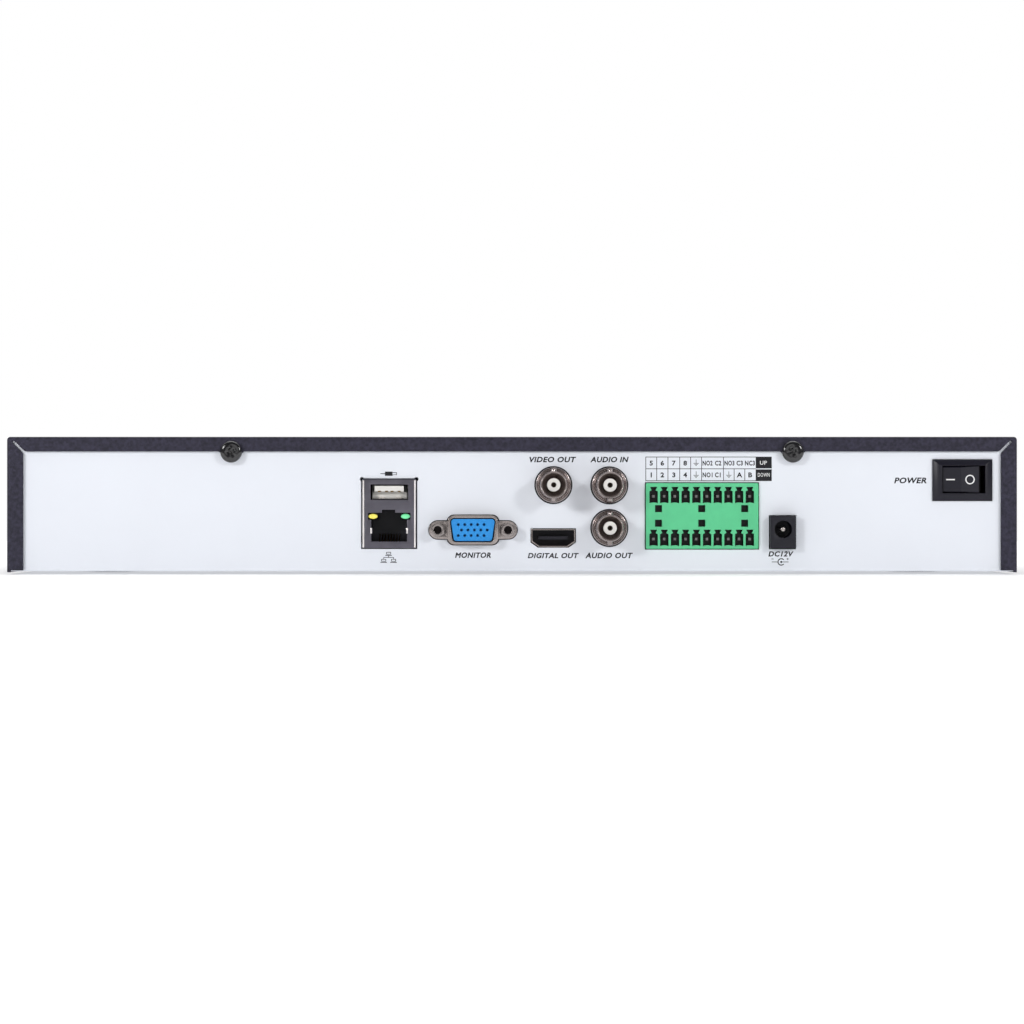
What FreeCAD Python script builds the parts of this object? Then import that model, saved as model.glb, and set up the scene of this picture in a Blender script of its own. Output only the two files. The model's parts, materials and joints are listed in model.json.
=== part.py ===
import FreeCAD, Part
import math
import os

# A one-unit-high surveillance video recorder: a folded steel tray with the connector
# panel at its rear, a slide-on steel cover, a plastic front, and the works inside.
#
# Everything is drawn in panel coordinates: x from the middle of the case, y inwards from
# the outer face of the rear panel, z up from the underside of the tray. save() moves it
# into the part's frame, whose origin is the middle of the bottom of the whole box.

V = FreeCAD.Vector
X_AXIS = V(1, 0, 0)
Y_AXIS = V(0, 1, 0)
Z_AXIS = V(0, 0, 1)

# Driving dimensions, in millimetres
body_width = 360.0
body_height = 48.0
body_depth = 255.0
foot_height = 1.0
jack_reach = 13.0
cover_skin = 1.0
tray_skin = 1.0
gap = 0.3
fascia_depth = 10.0
fascia_skin = 2.5

half_width = body_width / 2
cover_back = -(cover_skin + gap)
front_face = body_depth + cover_back
panel_y = (jack_reach - front_face) / 2
fascia_back = front_face - fascia_depth
cover_front = fascia_back - gap
tray_half = half_width - cover_skin - gap
tray_top = body_height - cover_skin - gap
tray_in = tray_half - tray_skin
wall_front = fascia_back - tray_skin

# Cover's folded rear edge
flange_inner_x = 174.15
flange_low_z = 42.75
flange_foot_z = 0.4
tab_x = 100.0
tab_r = 3.85
tab_root_r = 1.2
mitre_gap = 0.9
mitre_reach = 5.2
mitre_end_r = 1.8
cover_bend_r = 1.2
cover_foot_z = -0.3
cover_screw_z = 42.6
m3_r = 1.45
m3_hole_r = 1.8
pan_head_r = 2.9
pan_head_height = 1.9

# Main board and what stands on it
board_under_z = 6.5
board_top_z = 8.1
board_x = (-62.0, 112.0)
board_y = (1.6, 121.6)
board_screw_x = (-58.0, 25.0, 108.0)
board_screw_y = (40.0, 117.0)
board_screw_length = 5.5
pillar_r = 2.8
sink_size = 40.0
fin_count = 11
fin_pitch = 3.85
fin_thick = 1.3
cpu_size = 23.0
cpu_height = 1.8
memory_x = -24.0
memory_y = (48.0, 64.0, 80.0, 96.0)
capacitor_rs = (4.0, 4.0, 4.0, 3.15, 3.15)
capacitor_y = 48.0
capacitor_pitch = 9.5
capacitor_height = 11.5
coil_x = (68.0, 84.0)
coil_y = 64.0
coil_size = 12.0
relay_x = (54.0, 67.6, 81.2)
relay_y = (22.0, 38.0)
relay_height = 11.5
cpu_mid = (14.0, 72.0)
cell_mid = (62.0, 92.0)
buzzer_mid = (-45.0, 100.0)
plug_z = (board_top_z, board_top_z + 7.9)
cable_z = 12.0
data_plug_x = 5.0
power_plug_x = 45.0
drive_lead_y = (150.0, 170.0)
lead_plug = 8.5

# Rear connectors, left to right as seen from behind
net_x = (-53.5, -34.1)
net_z = (8.3, 32.9)
net_mid = (net_x[0] + net_x[1]) / 2
net_out = 0.8
net_depth = 24.0
net_skin = 0.3
usb_mouth = ((-50.4, -37.0), (25.6, 31.0))
lan_mouth = ((-50.15, -37.4), (10.7, 20.9))
lan_latch = ((-46.3, -41.65), (20.9, 21.9))
lan_depth = 12.0
lan_wire_pitch = 1.02
usb_contact_dx = (-3.5, -1.0, 1.0, 3.5)
lan_lamp_z = (18.5, 20.9)
lan_lamp_x = ((-51.3, -47.7), (-39.8, -36.2))
monitor_mid = (-13.9, 14.8)
monitor_screw_dx = 12.495
monitor_ear_r = 3.2
monitor_reach = 5.5
monitor_pin_pitch = 2.29
monitor_row_pitch = 1.95
dig_x = (6.9, 22.5)
dig_z = (8.8, 15.1)
coax_mids = ((14.76, 30.8), (34.7, 30.7), (34.7, 15.5))
coax_collar_r = 6.35
coax_hole_r = 6.8
coax_barrel_r = 4.8
coax_bore_r = 4.1
term_x = (47.7, 87.8)
term_z = (8.1, 31.5)
term_out = 1.0
term_depth = 9.0
term_pitch = 3.81
term_ways = 10
term_mid = 67.6
term_pin_z = (11.55, 26.8)
term_peg_x = (52.2, 67.6, 82.9)
term_peg_z = (17.2, 22.4)
dc_x = (91.9, 101.0)
dc_z = (8.2, 19.8)
dc_hole = (96.45, 15.05)
dc_out = 4.0
switch_mid = (160.5, 32.55)
switch_bezel = (21.4, 14.9)
switch_bezel_edge = 0.7
switch_bezel_crown = (16.2, 10.7)
switch_mouth = ((153.25, 168.5), (27.9, 37.7))
switch_body = (19.2, 13.2)
switch_out = 2.0
switch_depth = 16.0
rocker_pivot_y = 2.8
rocker_half = 6.35
rocker_rest_deg = -12.0

# Hard drive, fan and feet
drive_x = (-168.0, -21.0)
drive_y = (132.0, 233.6)
drive_z = (4.0, 30.1)
platter_r = 47.5
platter_z = (13.0, 20.0)
platter_thick = 1.27
post_r = 3.0
post_bore_r = 3.06
spindle = (-117.0, 182.8)
arm_pivot = (-57.0, 168.0)
arm_rest_deg = 113.0
fan_size = 40.0
fan_thick = 10.0
fan_mid = (60.0, 23.0)
fan_screw_reach = (-16.0, 16.0)
fan_hub_r = 8.6
blade_count = 7
blade_pitch_deg = 42.0
fan_duct_r = 18.8
fan_x = (-tray_in, -tray_in + fan_thick)
vent_y = [fan_mid[0] + 6.0 * (i - 4) for i in range(9)]
vent_z = (12.0, 34.0)
foot_x = 150.0
foot_y = (62.0, 215.0)

# Front
front_z = 24.0
front_usb_x = 80.0
fascia_screw_x = (-168.0, -30.0, 60.0, 168.0)
fascia_thread_r = 1.15
front_board_x = (66.0, 160.0)
lens_x = (96.0, 156.0)
lens_z = (16.0, 32.0)
lamp_x = (106.0, 116.0, 126.0)
ribbon_x = 100.0


def block(xs, ys, zs):
    """A plain box between three pairs of limits."""
    size = (xs[1] - xs[0], ys[1] - ys[0], zs[1] - zs[0])
    return Part.makeBox(*size, V(xs[0], ys[0], zs[0]))


def grown(pair, by):
    """A pair of limits moved apart by the same amount each way."""
    return (pair[0] - by, pair[1] + by)


def about(middle, size):
    """The limits of a length centred on a place."""
    return (middle - size / 2, middle + size / 2)


def rod_y(x, z, r, ys):
    """A round bar along Y."""
    return Part.makeCylinder(r, ys[1] - ys[0], V(x, ys[0], z), Y_AXIS)


def rod_x(y, z, r, xs):
    """A round bar along X."""
    return Part.makeCylinder(r, xs[1] - xs[0], V(xs[0], y, z), X_AXIS)


def rod_z(x, y, r, zs):
    """A round bar along Z."""
    return Part.makeCylinder(r, zs[1] - zs[0], V(x, y, zs[0]), Z_AXIS)


def prism_y(points, ys):
    """An outline of (x, z) points, pushed along Y."""
    corners = [V(x, ys[0], z) for x, z in points]
    face = Part.Face(Part.makePolygon(corners + corners[:1]))
    return face.extrude(V(0, ys[1] - ys[0], 0))


def rectangle_y(xs, zs, y):
    """A rectangular outline that faces along Y."""
    corners = [V(xs[0], y, zs[0]), V(xs[1], y, zs[0]), V(xs[1], y, zs[1]), V(xs[0], y, zs[1])]
    return Part.makePolygon(corners + corners[:1])


def rounded(shape, r, axis, test=None):
    """Rounds the straight edges that run along an axis, where test(middle) agrees."""
    chosen = []
    for edge in shape.Edges:
        if not isinstance(edge.Curve, Part.Line):
            continue
        if abs(edge.Curve.Direction.dot(axis)) < 0.999:
            continue
        if test is None or test(edge.CenterOfMass):
            chosen.append(edge)
    return shape.makeFillet(r, chosen)


def fuse(shapes):
    """One solid from several that touch."""
    first, rest = shapes[0], shapes[1:]
    return first.fuse(rest).removeSplitter() if rest else first


def group(shapes):
    """Separate solids that share one node."""
    return Part.makeCompound(shapes)


def save(node, shape):
    """Moves a piece into the part's frame and writes it."""
    placed = shape.copy()
    placed.translate(V(0, panel_y, foot_height))
    placed.exportStep("parts/" + node + ".step")


def pan_screw(x, z, y_seat, head_r, head_h, shank_r, shank_len):
    """A cross-recessed pan-head screw that enters along +Y."""
    head = rod_y(x, z, head_r, (y_seat - head_h, y_seat))
    rim = [e for e in head.Edges if abs(e.CenterOfMass.y - y_seat + head_h) < 0.01]
    head = head.makeFillet(head_h * 0.55, rim)
    arm, wide = head_r * 0.55, head_r * 0.17
    cut_y = (y_seat - head_h - 0.1, y_seat - head_h * 0.35)
    cross = fuse([
        block(about(x, 2 * arm), cut_y, about(z, 2 * wide)),
        block(about(x, 2 * wide), cut_y, about(z, 2 * arm)),
    ])
    shank = rod_y(x, z, shank_r, (y_seat, y_seat + shank_len))
    return head.cut(cross).fuse(shank).removeSplitter()


# Sheet-metal case

def monitor_outline(grow):
    """Flat outline of the monitor socket's eared flange, as a solid slice of unit depth."""
    x, z = monitor_mid
    ears = block(about(x, 2 * monitor_screw_dx), (0, 1), about(z, 2 * (monitor_ear_r + grow)))
    ends = [rod_y(x + s * monitor_screw_dx, z, monitor_ear_r + grow, (0, 1)) for s in (-1, 1)]
    bulge = block(about(x, 18.2 + 2 * grow), (0, 1), about(z, 10.45 + 2 * grow))
    bulge = rounded(bulge, 2.6, Y_AXIS)
    return fuse([ears, bulge] + ends)


def digital_outline(grow, ys):
    """The digital video socket's outline: square above, chamfered at both lower corners."""
    x0, x1 = grown(dig_x, grow)
    z0, z1 = grown(dig_z, grow)
    in_x, up_z = 2.6, 1.8
    return prism_y([(x0, z1), (x1, z1), (x1, z0 + up_z), (x1 - in_x, z0), (x0 + in_x, z0),
                    (x0, z0 + up_z)], ys)


def panel_cutouts():
    """Everything that is punched out of the rear panel."""
    through = (-1.0, tray_skin + 1.0)
    cuts = [block(grown(net_x, 0.3), through, grown(net_z, 0.3))]
    for x in net_x:
        cuts.append(rod_y(x, net_z[1], 0.75, through))
    eared = monitor_outline(0.3)
    cuts += [eared.translated(V(0, shift, 0)) for shift in (-0.9, 0.0, 0.9)]
    cuts.append(digital_outline(0.3, through))
    for x, z in coax_mids:
        cuts.append(rod_y(x, z, coax_hole_r, through))
    cuts.append(block(grown(term_x, 0.3), through, grown(term_z, 0.3)))
    cuts.append(block(grown(dc_x, 0.3), through, grown(dc_z, 0.3)))
    body_x, body_z = about(switch_mid[0], switch_body[0]), about(switch_mid[1], switch_body[1])
    cuts.append(block(grown(body_x, 0.15), through, grown(body_z, 0.15)))
    for side in (-1, 1):
        cuts.append(rod_y(side * tab_x, cover_screw_z, m3_hole_r, through))
    return cuts


def tray_side_cutouts():
    """The fan's round outlet in the left wall and a bank of slots in the right wall."""
    y, z = fan_mid
    left = (-tray_half - 1, -tray_in + 1)
    right = (tray_in - 1, tray_half + 1)
    cuts = [rod_x(y, z, fan_duct_r - 0.6, left)]
    hole = 16.0
    for dy in (-hole, hole):
        for dz in (-hole, hole):
            cuts.append(rod_x(y + dy, z + dz, 1.6, left))
    for i in range(9):
        cuts.append(block(right, about(vent_y[i], 2.6), vent_z))
    return cuts


def front_wall_cutouts():
    """Holes in the tray's front wall for the front socket, the lamps' wiring and the screws."""
    through = (wall_front - 1, fascia_back + 1)
    cuts = [block(about(front_usb_x, 15.0), through, about(front_z, 7.6))]
    cuts.append(block(about(ribbon_x, 16.0), through, (18, 28)))
    for x in fascia_screw_x:
        cuts.append(rod_y(x, front_z, 1.7, through))
    return cuts


def chassis_tray():
    """Floor, four walls and two stiffening lips, folded from one sheet."""
    outer = block((-tray_half, tray_half), (0, fascia_back), (0, tray_top))
    outer = rounded(outer, 1.0, X_AXIS, lambda c: c.z < 1)
    inner = block((-tray_in, tray_in), (tray_skin, wall_front), (tray_skin, tray_top + 1))
    tray = outer.cut(inner)
    lip = 8.0
    for ys in ((tray_skin, lip), (wall_front - lip, wall_front)):
        tray = tray.fuse(block((-tray_in, tray_in), ys, (tray_top - tray_skin, tray_top)))
    tray = tray.removeSplitter()
    cuts = panel_cutouts() + tray_side_cutouts() + front_wall_cutouts()
    for x, y in drive_screw_places():
        cuts.append(rod_z(x, y, 3.05, (-1, tray_skin + 1)))
    return tray.cut(group(cuts))


def rear_window():
    """The opening that the cover's three rear flanges leave, with its two screw tabs."""
    ys = (cover_back - 1, cover_back + cover_skin + 0.001)
    window = block((-flange_inner_x, flange_inner_x), ys, (-2, flange_low_z))
    slots = []
    for side in (-1, 1):
        slot = block((-1, mitre_reach), ys, about(0, mitre_gap))
        slot.rotate(V(0, 0, 0), Y_AXIS, -45 if side > 0 else -135)
        slot.translate(V(side * flange_inner_x, 0, flange_low_z))
        slots.append(slot)
    window = fuse([window] + slots)
    near_corner = lambda c: abs(abs(c.x) - flange_inner_x) < 0.9 and abs(c.z - flange_low_z) < 0.9
    window = rounded(window, mitre_end_r, Y_AXIS, near_corner)
    for side in (-1, 1):
        window = window.cut(rod_y(side * tab_x, flange_low_z, tab_r, ys))
    at_tab = lambda c: abs(c.z - flange_low_z) < 0.01 and abs(abs(c.x) - tab_x) < tab_r + 0.1
    window = rounded(window, tab_root_r, Y_AXIS, at_tab)
    toe = block((-tray_half, tray_half), ys, (-2, flange_foot_z))
    return window.fuse(toe)


def top_cover():
    """Roof, two sides and three narrow rear flanges of one folded steel sheet."""
    outer = block((-half_width, half_width), (cover_back, cover_front), (cover_foot_z, body_height))
    on_bend = lambda c: c.z > 1 and (c.z > body_height - 1 or c.y < 0) and c.y < cover_front - 1
    edges = []
    for edge in outer.Edges:
        middle = edge.CenterOfMass
        if on_bend(middle) and middle.z > cover_foot_z + 1:
            edges.append(edge)
    outer = outer.makeFillet(cover_bend_r, edges)
    room = half_width - cover_skin
    inner = block((-room, room), (cover_back + cover_skin, cover_front + 1),
                  (cover_foot_z - 1, body_height - cover_skin))
    cover = outer.cut(inner).cut(rear_window())
    cuts = []
    for side in (-1, 1):
        cuts.append(rod_y(side * tab_x, cover_screw_z, m3_hole_r - 0.1, (cover_back - 1, 1)))
        wall = about(side * (half_width - cover_skin / 2), 3.0)
        for i in range(9):
            cuts.append(rounded(block(wall, about(vent_y[i], 2.6), vent_z), 1.25, X_AXIS))
    return cover.cut(group(cuts))


def cover_screws():
    """The two screws that hold the cover's tabs to the rear panel."""
    return group([pan_screw(side * tab_x, cover_screw_z, cover_back, 3.4, 2.3, m3_r, 6.0)
                  for side in (-1, 1)])


def rubber_feet():
    """Four thin rubber pads under the floor."""
    return group([rod_z(side * foot_x, y, 9.0, (-foot_height, 0)) for side in (-1, 1)
                  for y in foot_y])


# Rear connectors

def network_shield():
    """Folded metal can round the stacked network and USB sockets."""
    ys = (-net_out, net_depth)
    can = rounded(block(net_x, ys, net_z), 0.5, Z_AXIS, lambda c: c.y < 0)
    room = block(grown(net_x, -net_skin), (ys[0] + net_skin, ys[1] + 1),
                 (net_z[0] - 1, net_z[1] - net_skin))
    through = (ys[0] - 1, 2)
    mouths = [block(usb_mouth[0], through, usb_mouth[1]), block(lan_mouth[0], through, lan_mouth[1]),
              block(lan_latch[0], through, grown(lan_latch[1], 0.1))]
    for xs in lan_lamp_x:
        mouths.append(block(xs, through, lan_lamp_z))
    can = can.cut(room).cut(group(mouths))
    springs = []
    for x, side in ((lan_mouth[0][0], 1), (lan_mouth[0][1], -1)):
        springs.append(block(tuple(sorted((x - 0.1 * side, x + 0.5 * side))), (ys[0], ys[0] + net_skin),
                             (13.5, 15.5)))
    return fuse([can] + springs)


def network_body():
    """Black moulding that fills the can, hollowed for the two sockets and the lamps."""
    front = -net_out + net_skin
    body = block(grown(net_x, -net_skin), (front, net_depth), (net_z[0], net_z[1] - net_skin))
    cuts = [block(usb_mouth[0], (front - 1, 16.0), usb_mouth[1]),
            block(lan_mouth[0], (front - 1, lan_depth), lan_mouth[1]),
            block(lan_latch[0], (front - 1, lan_depth), grown(lan_latch[1], 0.1))]
    for xs in lan_lamp_x:
        cuts.append(block(xs, (front - 1, 14.0), lan_lamp_z))
    for i in range(8):
        cuts.append(block(about(net_mid + (i - 3.5) * lan_wire_pitch, 0.5), (front + 1.0, lan_depth + 2),
                          (lan_mouth[1][0] - 0.9, lan_mouth[1][0] + 0.1)))
    return body.cut(group(cuts))


def network_contacts():
    """Eight sprung gold wires that rise from the floor of the network socket."""
    wires = []
    low = lan_mouth[1][0] - 0.8
    for i in range(8):
        xs = about(net_mid + (i - 3.5) * lan_wire_pitch, 0.4)
        foot = block(xs, (1.0, lan_depth + 1), (low, low + 0.4))
        slope = Part.Face(Part.makePolygon([V(xs[0], 1.0, low), V(xs[0], 1.4, low),
                                            V(xs[0], 9.4, low + 3.4), V(xs[0], 9.0, low + 3.4),
                                            V(xs[0], 1.0, low)]))
        wires.append(fuse([foot, slope.extrude(V(xs[1] - xs[0], 0, 0))]))
    return group(wires)


def link_lamp(xs):
    """One lens of the network socket's link and traffic lights."""
    lens = block(grown(xs, -0.1), (-net_out + 0.1, 13.5), grown(lan_lamp_z, -0.1))
    return rounded(lens, 0.5, Y_AXIS)


def usb_block(x, front, z_mouth):
    """The white contact tongue of a USB socket with its back wall."""
    low, high = z_mouth
    tongue = block(about(x, 10.4), (front + 1.2, front + 12.0), (low + 2.9, low + 4.9))
    back = block(about(x, 13.0), (front + 12.0, front + 15.0), grown(z_mouth, -0.1))
    cuts = [block(about(x + dx, 1.1), (front + 1.0, front + 12.0), (low + 2.8, low + 3.2))
            for dx in usb_contact_dx]
    return fuse([tongue, back]).cut(group(cuts))


def usb_contacts(x, front, z_mouth):
    """Four flat contacts let into the underside of a USB tongue."""
    low = z_mouth[0]
    return group([block(about(x + dx, 1.0), (front + 1.4, front + 11.9), (low + 2.75, low + 3.15))
                  for dx in usb_contact_dx])


def monitor_shell():
    """Deep-drawn flange with two ears and the raised D-shaped skirt of the monitor socket."""
    x, z = monitor_mid
    flange = monitor_outline(0).translated(V(0, -0.8, 0))
    shell_y = (-monitor_reach, 0.0)
    skirt = d_prism(17.6, 15.4, 9.6, 1.9, shell_y)
    base = rounded(block(about(x, 18.2), (-1.8, 0.2), about(z, 10.45)), 2.6, Y_AXIS)
    room = d_prism(16.6, 14.4, 8.6, 1.4, (-monitor_reach - 1, 1))
    shell = fuse([flange, skirt, base]).cut(room)
    holes = [rod_y(x + s * monitor_screw_dx, z, 1.7, (-2, 1)) for s in (-1, 1)]
    return shell.cut(group(holes))


def d_prism(top, bottom, height, r, ys):
    """A rounded D shape, wider above, centred on the monitor socket."""
    x, z = monitor_mid
    outline = [(x - top / 2, z + height / 2), (x + top / 2, z + height / 2),
               (x + bottom / 2, z - height / 2), (x - bottom / 2, z - height / 2)]
    return rounded(prism_y(outline, ys), r, Y_AXIS)


def monitor_insert():
    """Blue insulator with three rows of five contact holes."""
    x, z = monitor_mid
    body = d_prism(15.8, 13.4, 7.8, 1.1, (-monitor_reach + 0.7, 0.6))
    holes = []
    for row, shift in ((1, 0.0), (0, monitor_pin_pitch / 2), (-1, 0.0)):
        for i in range(5):
            place = x - 0.6 + (i - 2) * monitor_pin_pitch + shift
            holes.append(rod_y(place, z + row * monitor_row_pitch, 0.5,
                               (-monitor_reach, -monitor_reach + 4.5)))
    return body.cut(group(holes))


def monitor_body():
    """Black rear moulding that carries the monitor socket down to the board."""
    x, z = monitor_mid
    moulding = block(about(x, 30.8), (1.3, 12.0), (board_top_z, z + 5.6))
    posts = [rod_y(x + s * monitor_screw_dx, z, 1.75, (0.0, 8.0)) for s in (-1, 1)]
    core = d_prism(15.8, 13.4, 7.8, 1.1, (0.6, 1.3))
    return fuse([moulding, core]).cut(group(posts))


def monitor_posts():
    """Hexagonal posts that a monitor plug's thumbscrews enter."""
    posts = []
    x, z = monitor_mid
    flats = 4.75
    corner = flats / math.sqrt(3)
    for side in (-1, 1):
        mid = x + side * monitor_screw_dx
        ring = [(mid + corner * math.sin(math.radians(60 * k)),
                 z + corner * math.cos(math.radians(60 * k))) for k in range(6)]
        post = prism_y(ring, (-5.6, -0.8)).fuse(rod_y(mid, z, 1.65, (-0.8, 7.5)))
        posts.append(post.removeSplitter().cut(rod_y(mid, z, 1.42, (-6, 0.5))))
    return group(posts)


def digital_shell():
    """Thin chamfered metal shell of the digital video socket."""
    shell = digital_outline(0, (-0.6, 11.0)).cut(digital_outline(-0.35, (-1.6, 10.5)))
    foot = block(about(sum(dig_x) / 2, 6.0), (7.0, 10.0), (board_top_z, dig_z[0]))
    return fuse([shell, foot])


def digital_tongue():
    """Contact tongue and back wall inside the digital video socket."""
    back = digital_outline(-0.4, (8.0, 10.4))
    tongue = block((9.5, 19.9), (1.2, 8.0), (11.4, 12.5))
    return fuse([back, tongue])


def coax_jacks():
    """Three bayonet jack bodies: collar, barrel with two lugs, and a blind bore."""
    shells = []
    lug_y = -9.6
    for x, z in coax_mids:
        collar = rod_y(x, z, coax_collar_r, (-2.4, 1.3))
        rim = [e for e in collar.Edges if abs(e.CenterOfMass.y + 2.4) < 0.01]
        collar = collar.makeChamfer(0.5, rim)
        barrel = rod_y(x, z, coax_barrel_r, (-jack_reach, -2.4))
        lugs = rod_z(x, lug_y, 1.0, (z - 5.9, z + 5.9))
        bore = rod_y(x, z, coax_bore_r, (-jack_reach - 1, -1.4))
        shells.append(fuse([collar, barrel, lugs]).cut(bore))
    return group(shells)


def coax_insulators():
    """White dielectric posts inside the bayonet jacks."""
    posts = []
    for x, z in coax_mids:
        post = rod_y(x, z, 2.35, (-10.6, -1.4))
        posts.append(post.cut(rod_y(x, z, 0.95, (-11.0, -1.4))))
    return group(posts)


def coax_contacts():
    """Slit centre contacts, bored for the plug's pin."""
    pins = []
    for x, z in coax_mids:
        pin = rod_y(x, z, 0.95, (-9.9, -1.4))
        pins.append(pin.cut(rod_y(x, z, 0.6, (-11.0, -4.0))))
    return group(pins)


def coax_bases():
    """Black mouldings that stand the jacks on the board: one bridges the digital socket."""
    x, z = coax_mids[0]
    upper = block(about(x, 14.4), (1.3, 15.0), (dig_z[1] + 0.4, z + 7.2))
    heel = block(about(x, 14.4), (11.3, 15.0), (board_top_z, dig_z[1] + 0.4))
    pair_x = coax_mids[1][0]
    pair = block(about(pair_x, 14.4), (1.3, 15.0), (board_top_z, coax_mids[1][1] + 7.2))
    return group([fuse([upper, heel]), pair])


def term_places():
    """Middle of every way of the plug-in terminal block, as (x, z, row)."""
    return [(term_mid + (i - (term_ways - 1) / 2) * term_pitch, z, row)
            for row, z in enumerate(term_pin_z) for i in range(term_ways)]


def term_pocket(x, z, ys):
    """One keyed pocket: an arched floor, square sides and a dovetail neck above."""
    half, neck, top = 1.5, 0.73, 1.28
    shoulder, waist, roof, sill = 1.75, 2.15, 3.35, -2.5
    y = ys[0]
    arch = Part.Arc(V(x - half, y, z + sill), V(x, y, z + sill + 0.3), V(x + half, y, z + sill))
    ring = [V(x + half, y, z + sill), V(x + half, y, z + shoulder), V(x + neck, y, z + waist),
            V(x + top, y, z + roof), V(x - top, y, z + roof), V(x - neck, y, z + waist),
            V(x - half, y, z + shoulder), V(x - half, y, z + sill)]
    wire = Part.Wire([arch.toShape()] + [Part.makeLine(a, b) for a, b in zip(ring, ring[1:])])
    return Part.Face(wire).extrude(V(0, ys[1] - ys[0], 0))


def term_pin(x, z, row):
    """A square pin that bends down to the board behind the block."""
    tail_y = term_depth + 1.2 + 2.6 * row
    pin = block(about(x, 0.9), (0.4, tail_y + 0.9), about(z, 0.9))
    tail = block(about(x, 0.9), (tail_y, tail_y + 0.9), (board_top_z, z + 0.45))
    return fuse([pin, tail])


def terminal_header():
    """Green two-row header with twenty keyed pockets and six core holes."""
    body = block(term_x, (-term_out, term_depth), term_z)
    body = rounded(body, 0.5, Y_AXIS)
    cuts = [term_pocket(x, z, (-term_out - 1, 6.2)) for x, z, row in term_places()]
    cuts += [block(about(x, 0.9), (6.0, term_depth + 1), about(z, 0.9)) for x, z, row in term_places()]
    for x in term_peg_x:
        for z in term_peg_z:
            cuts.append(block(about(x, 2.5), (-term_out - 1, 5.0), about(z, 2.5)))
    return body.cut(group(cuts))


def dc_body():
    """Square plastic body of the power socket with its round plug hole."""
    x, z = dc_hole
    body = rounded(block(dc_x, (-dc_out, 10.5), dc_z), 0.4, Y_AXIS)
    slot = block(about(x, 2.6), (-1.0, 6.0), (z - 3.9, z - 2.4))
    return body.cut(group([rod_y(x, z, 3.1, (-dc_out - 1, 6.0)), slot]))


def dc_pin():
    """Centre pin of the power socket."""
    x, z = dc_hole
    pin = rod_y(x, z, 1.0, (-dc_out + 1.2, 6.0))
    tip = [e for e in pin.Edges if abs(e.CenterOfMass.y - (-dc_out + 1.2)) < 0.01]
    return pin.makeFillet(0.6, tip)


def dc_spring():
    """Leaf contact in the floor of the power socket."""
    x, z = dc_hole
    return block(about(x, 2.2), (-0.8, 6.0), (z - 3.5, z - 3.1))


def switch_housing():
    """Snap-in body of the power switch with its bevelled bezel."""
    x, z = switch_mid
    wide, high = switch_bezel
    plate = block(about(x, wide), (-switch_bezel_edge, 0), about(z, high))
    outer = rectangle_y(about(x, wide), about(z, high), -switch_bezel_edge)
    crown = rectangle_y(about(x, switch_bezel_crown[0]), about(z, switch_bezel_crown[1]), -switch_out)
    bezel = fuse([plate, Part.makeLoft([outer, crown], True, True)])
    body = block(about(x, switch_body[0]), (0, switch_depth), about(z, switch_body[1]))
    well = block(switch_mouth[0], (-switch_out - 1, switch_depth - 5), switch_mouth[1])
    pivot_x = sum(switch_mouth[0]) / 2
    bearing = rod_z(pivot_x, rocker_pivot_y, 1.26, (switch_mouth[1][0] - 1.2, switch_mouth[1][1] + 1.2))
    return fuse([bezel, body]).cut(group([well, bearing]))


def switch_rocker():
    """The rocking paddle on its two trunnions, tipped to the side that is pressed in."""
    x = sum(switch_mouth[0]) / 2
    z0, z1 = switch_mouth[1]
    low = z0 + 0.3
    outline = [(-rocker_half, -5.3), (0, -4.5), (rocker_half, -5.3), (5.2, 1.0), (2.0, 3.2),
               (-2.0, 3.2), (-5.2, 1.0)]
    corners = [V(x + px, rocker_pivot_y + py, low) for px, py in outline]
    paddle = Part.Face(Part.makePolygon(corners + corners[:1])).extrude(V(0, 0, z1 - z0 - 0.6))
    face_edges = [e for e in paddle.Edges if abs(e.CenterOfMass.y - rocker_pivot_y + 4.9) < 0.3
                  and abs(e.CenterOfMass.z - (z0 + z1) / 2) > 4]
    paddle = paddle.makeFillet(0.5, face_edges)
    trunnions = rod_z(x, rocker_pivot_y, 1.2, (z0 - 1.1, z1 + 1.1))
    rocker = fuse([paddle, trunnions])
    rocker.rotate(V(x, rocker_pivot_y, 0), Z_AXIS, rocker_rest_deg)
    return rocker


def switch_terminals():
    """Two blade terminals at the back of the switch."""
    x, z = switch_mid
    return group([block(about(x + s * 4.5, 0.8), (switch_depth, switch_depth + 8), about(z, 4.8))
                  for s in (-1, 1)])


# Main board

def main_board():
    """Printed circuit board that carries every rear connector."""
    board = rounded(block(board_x, board_y, (board_under_z, board_top_z)), 2.0, Z_AXIS)
    holes = [rod_z(x, y, 1.7, (board_under_z - 1, board_top_z + 1)) for x in board_screw_x
             for y in board_screw_y]
    return board.cut(group(holes))


def board_standoffs():
    """Threaded pillars pressed into the floor under the board."""
    pillars = []
    for x in board_screw_x:
        for y in board_screw_y:
            pillar = rod_z(x, y, pillar_r, (tray_skin, board_under_z))
            pillars.append(pillar.cut(rod_z(x, y, 1.5, (tray_skin, board_under_z + 1))))
    return group(pillars)


def downward(screw, x, y, z):
    """Turns a screw that enters along +Y so that it enters downwards, and places its seat."""
    turned = screw.copy()
    turned.rotate(V(0, 0, 0), X_AXIS, -90)
    turned.translate(V(x, y, z))
    return turned


def board_screws():
    """Six pan-head screws that hold the board to its pillars."""
    screw = pan_screw(0, 0, 0, pan_head_r, pan_head_height, m3_r, board_screw_length)
    return group([downward(screw, x, y, board_top_z) for x in board_screw_x
                  for y in board_screw_y])


def on_board(xs, ys, height):
    """A block that stands on the board."""
    return block(xs, ys, (board_top_z, board_top_z + height))


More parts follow.
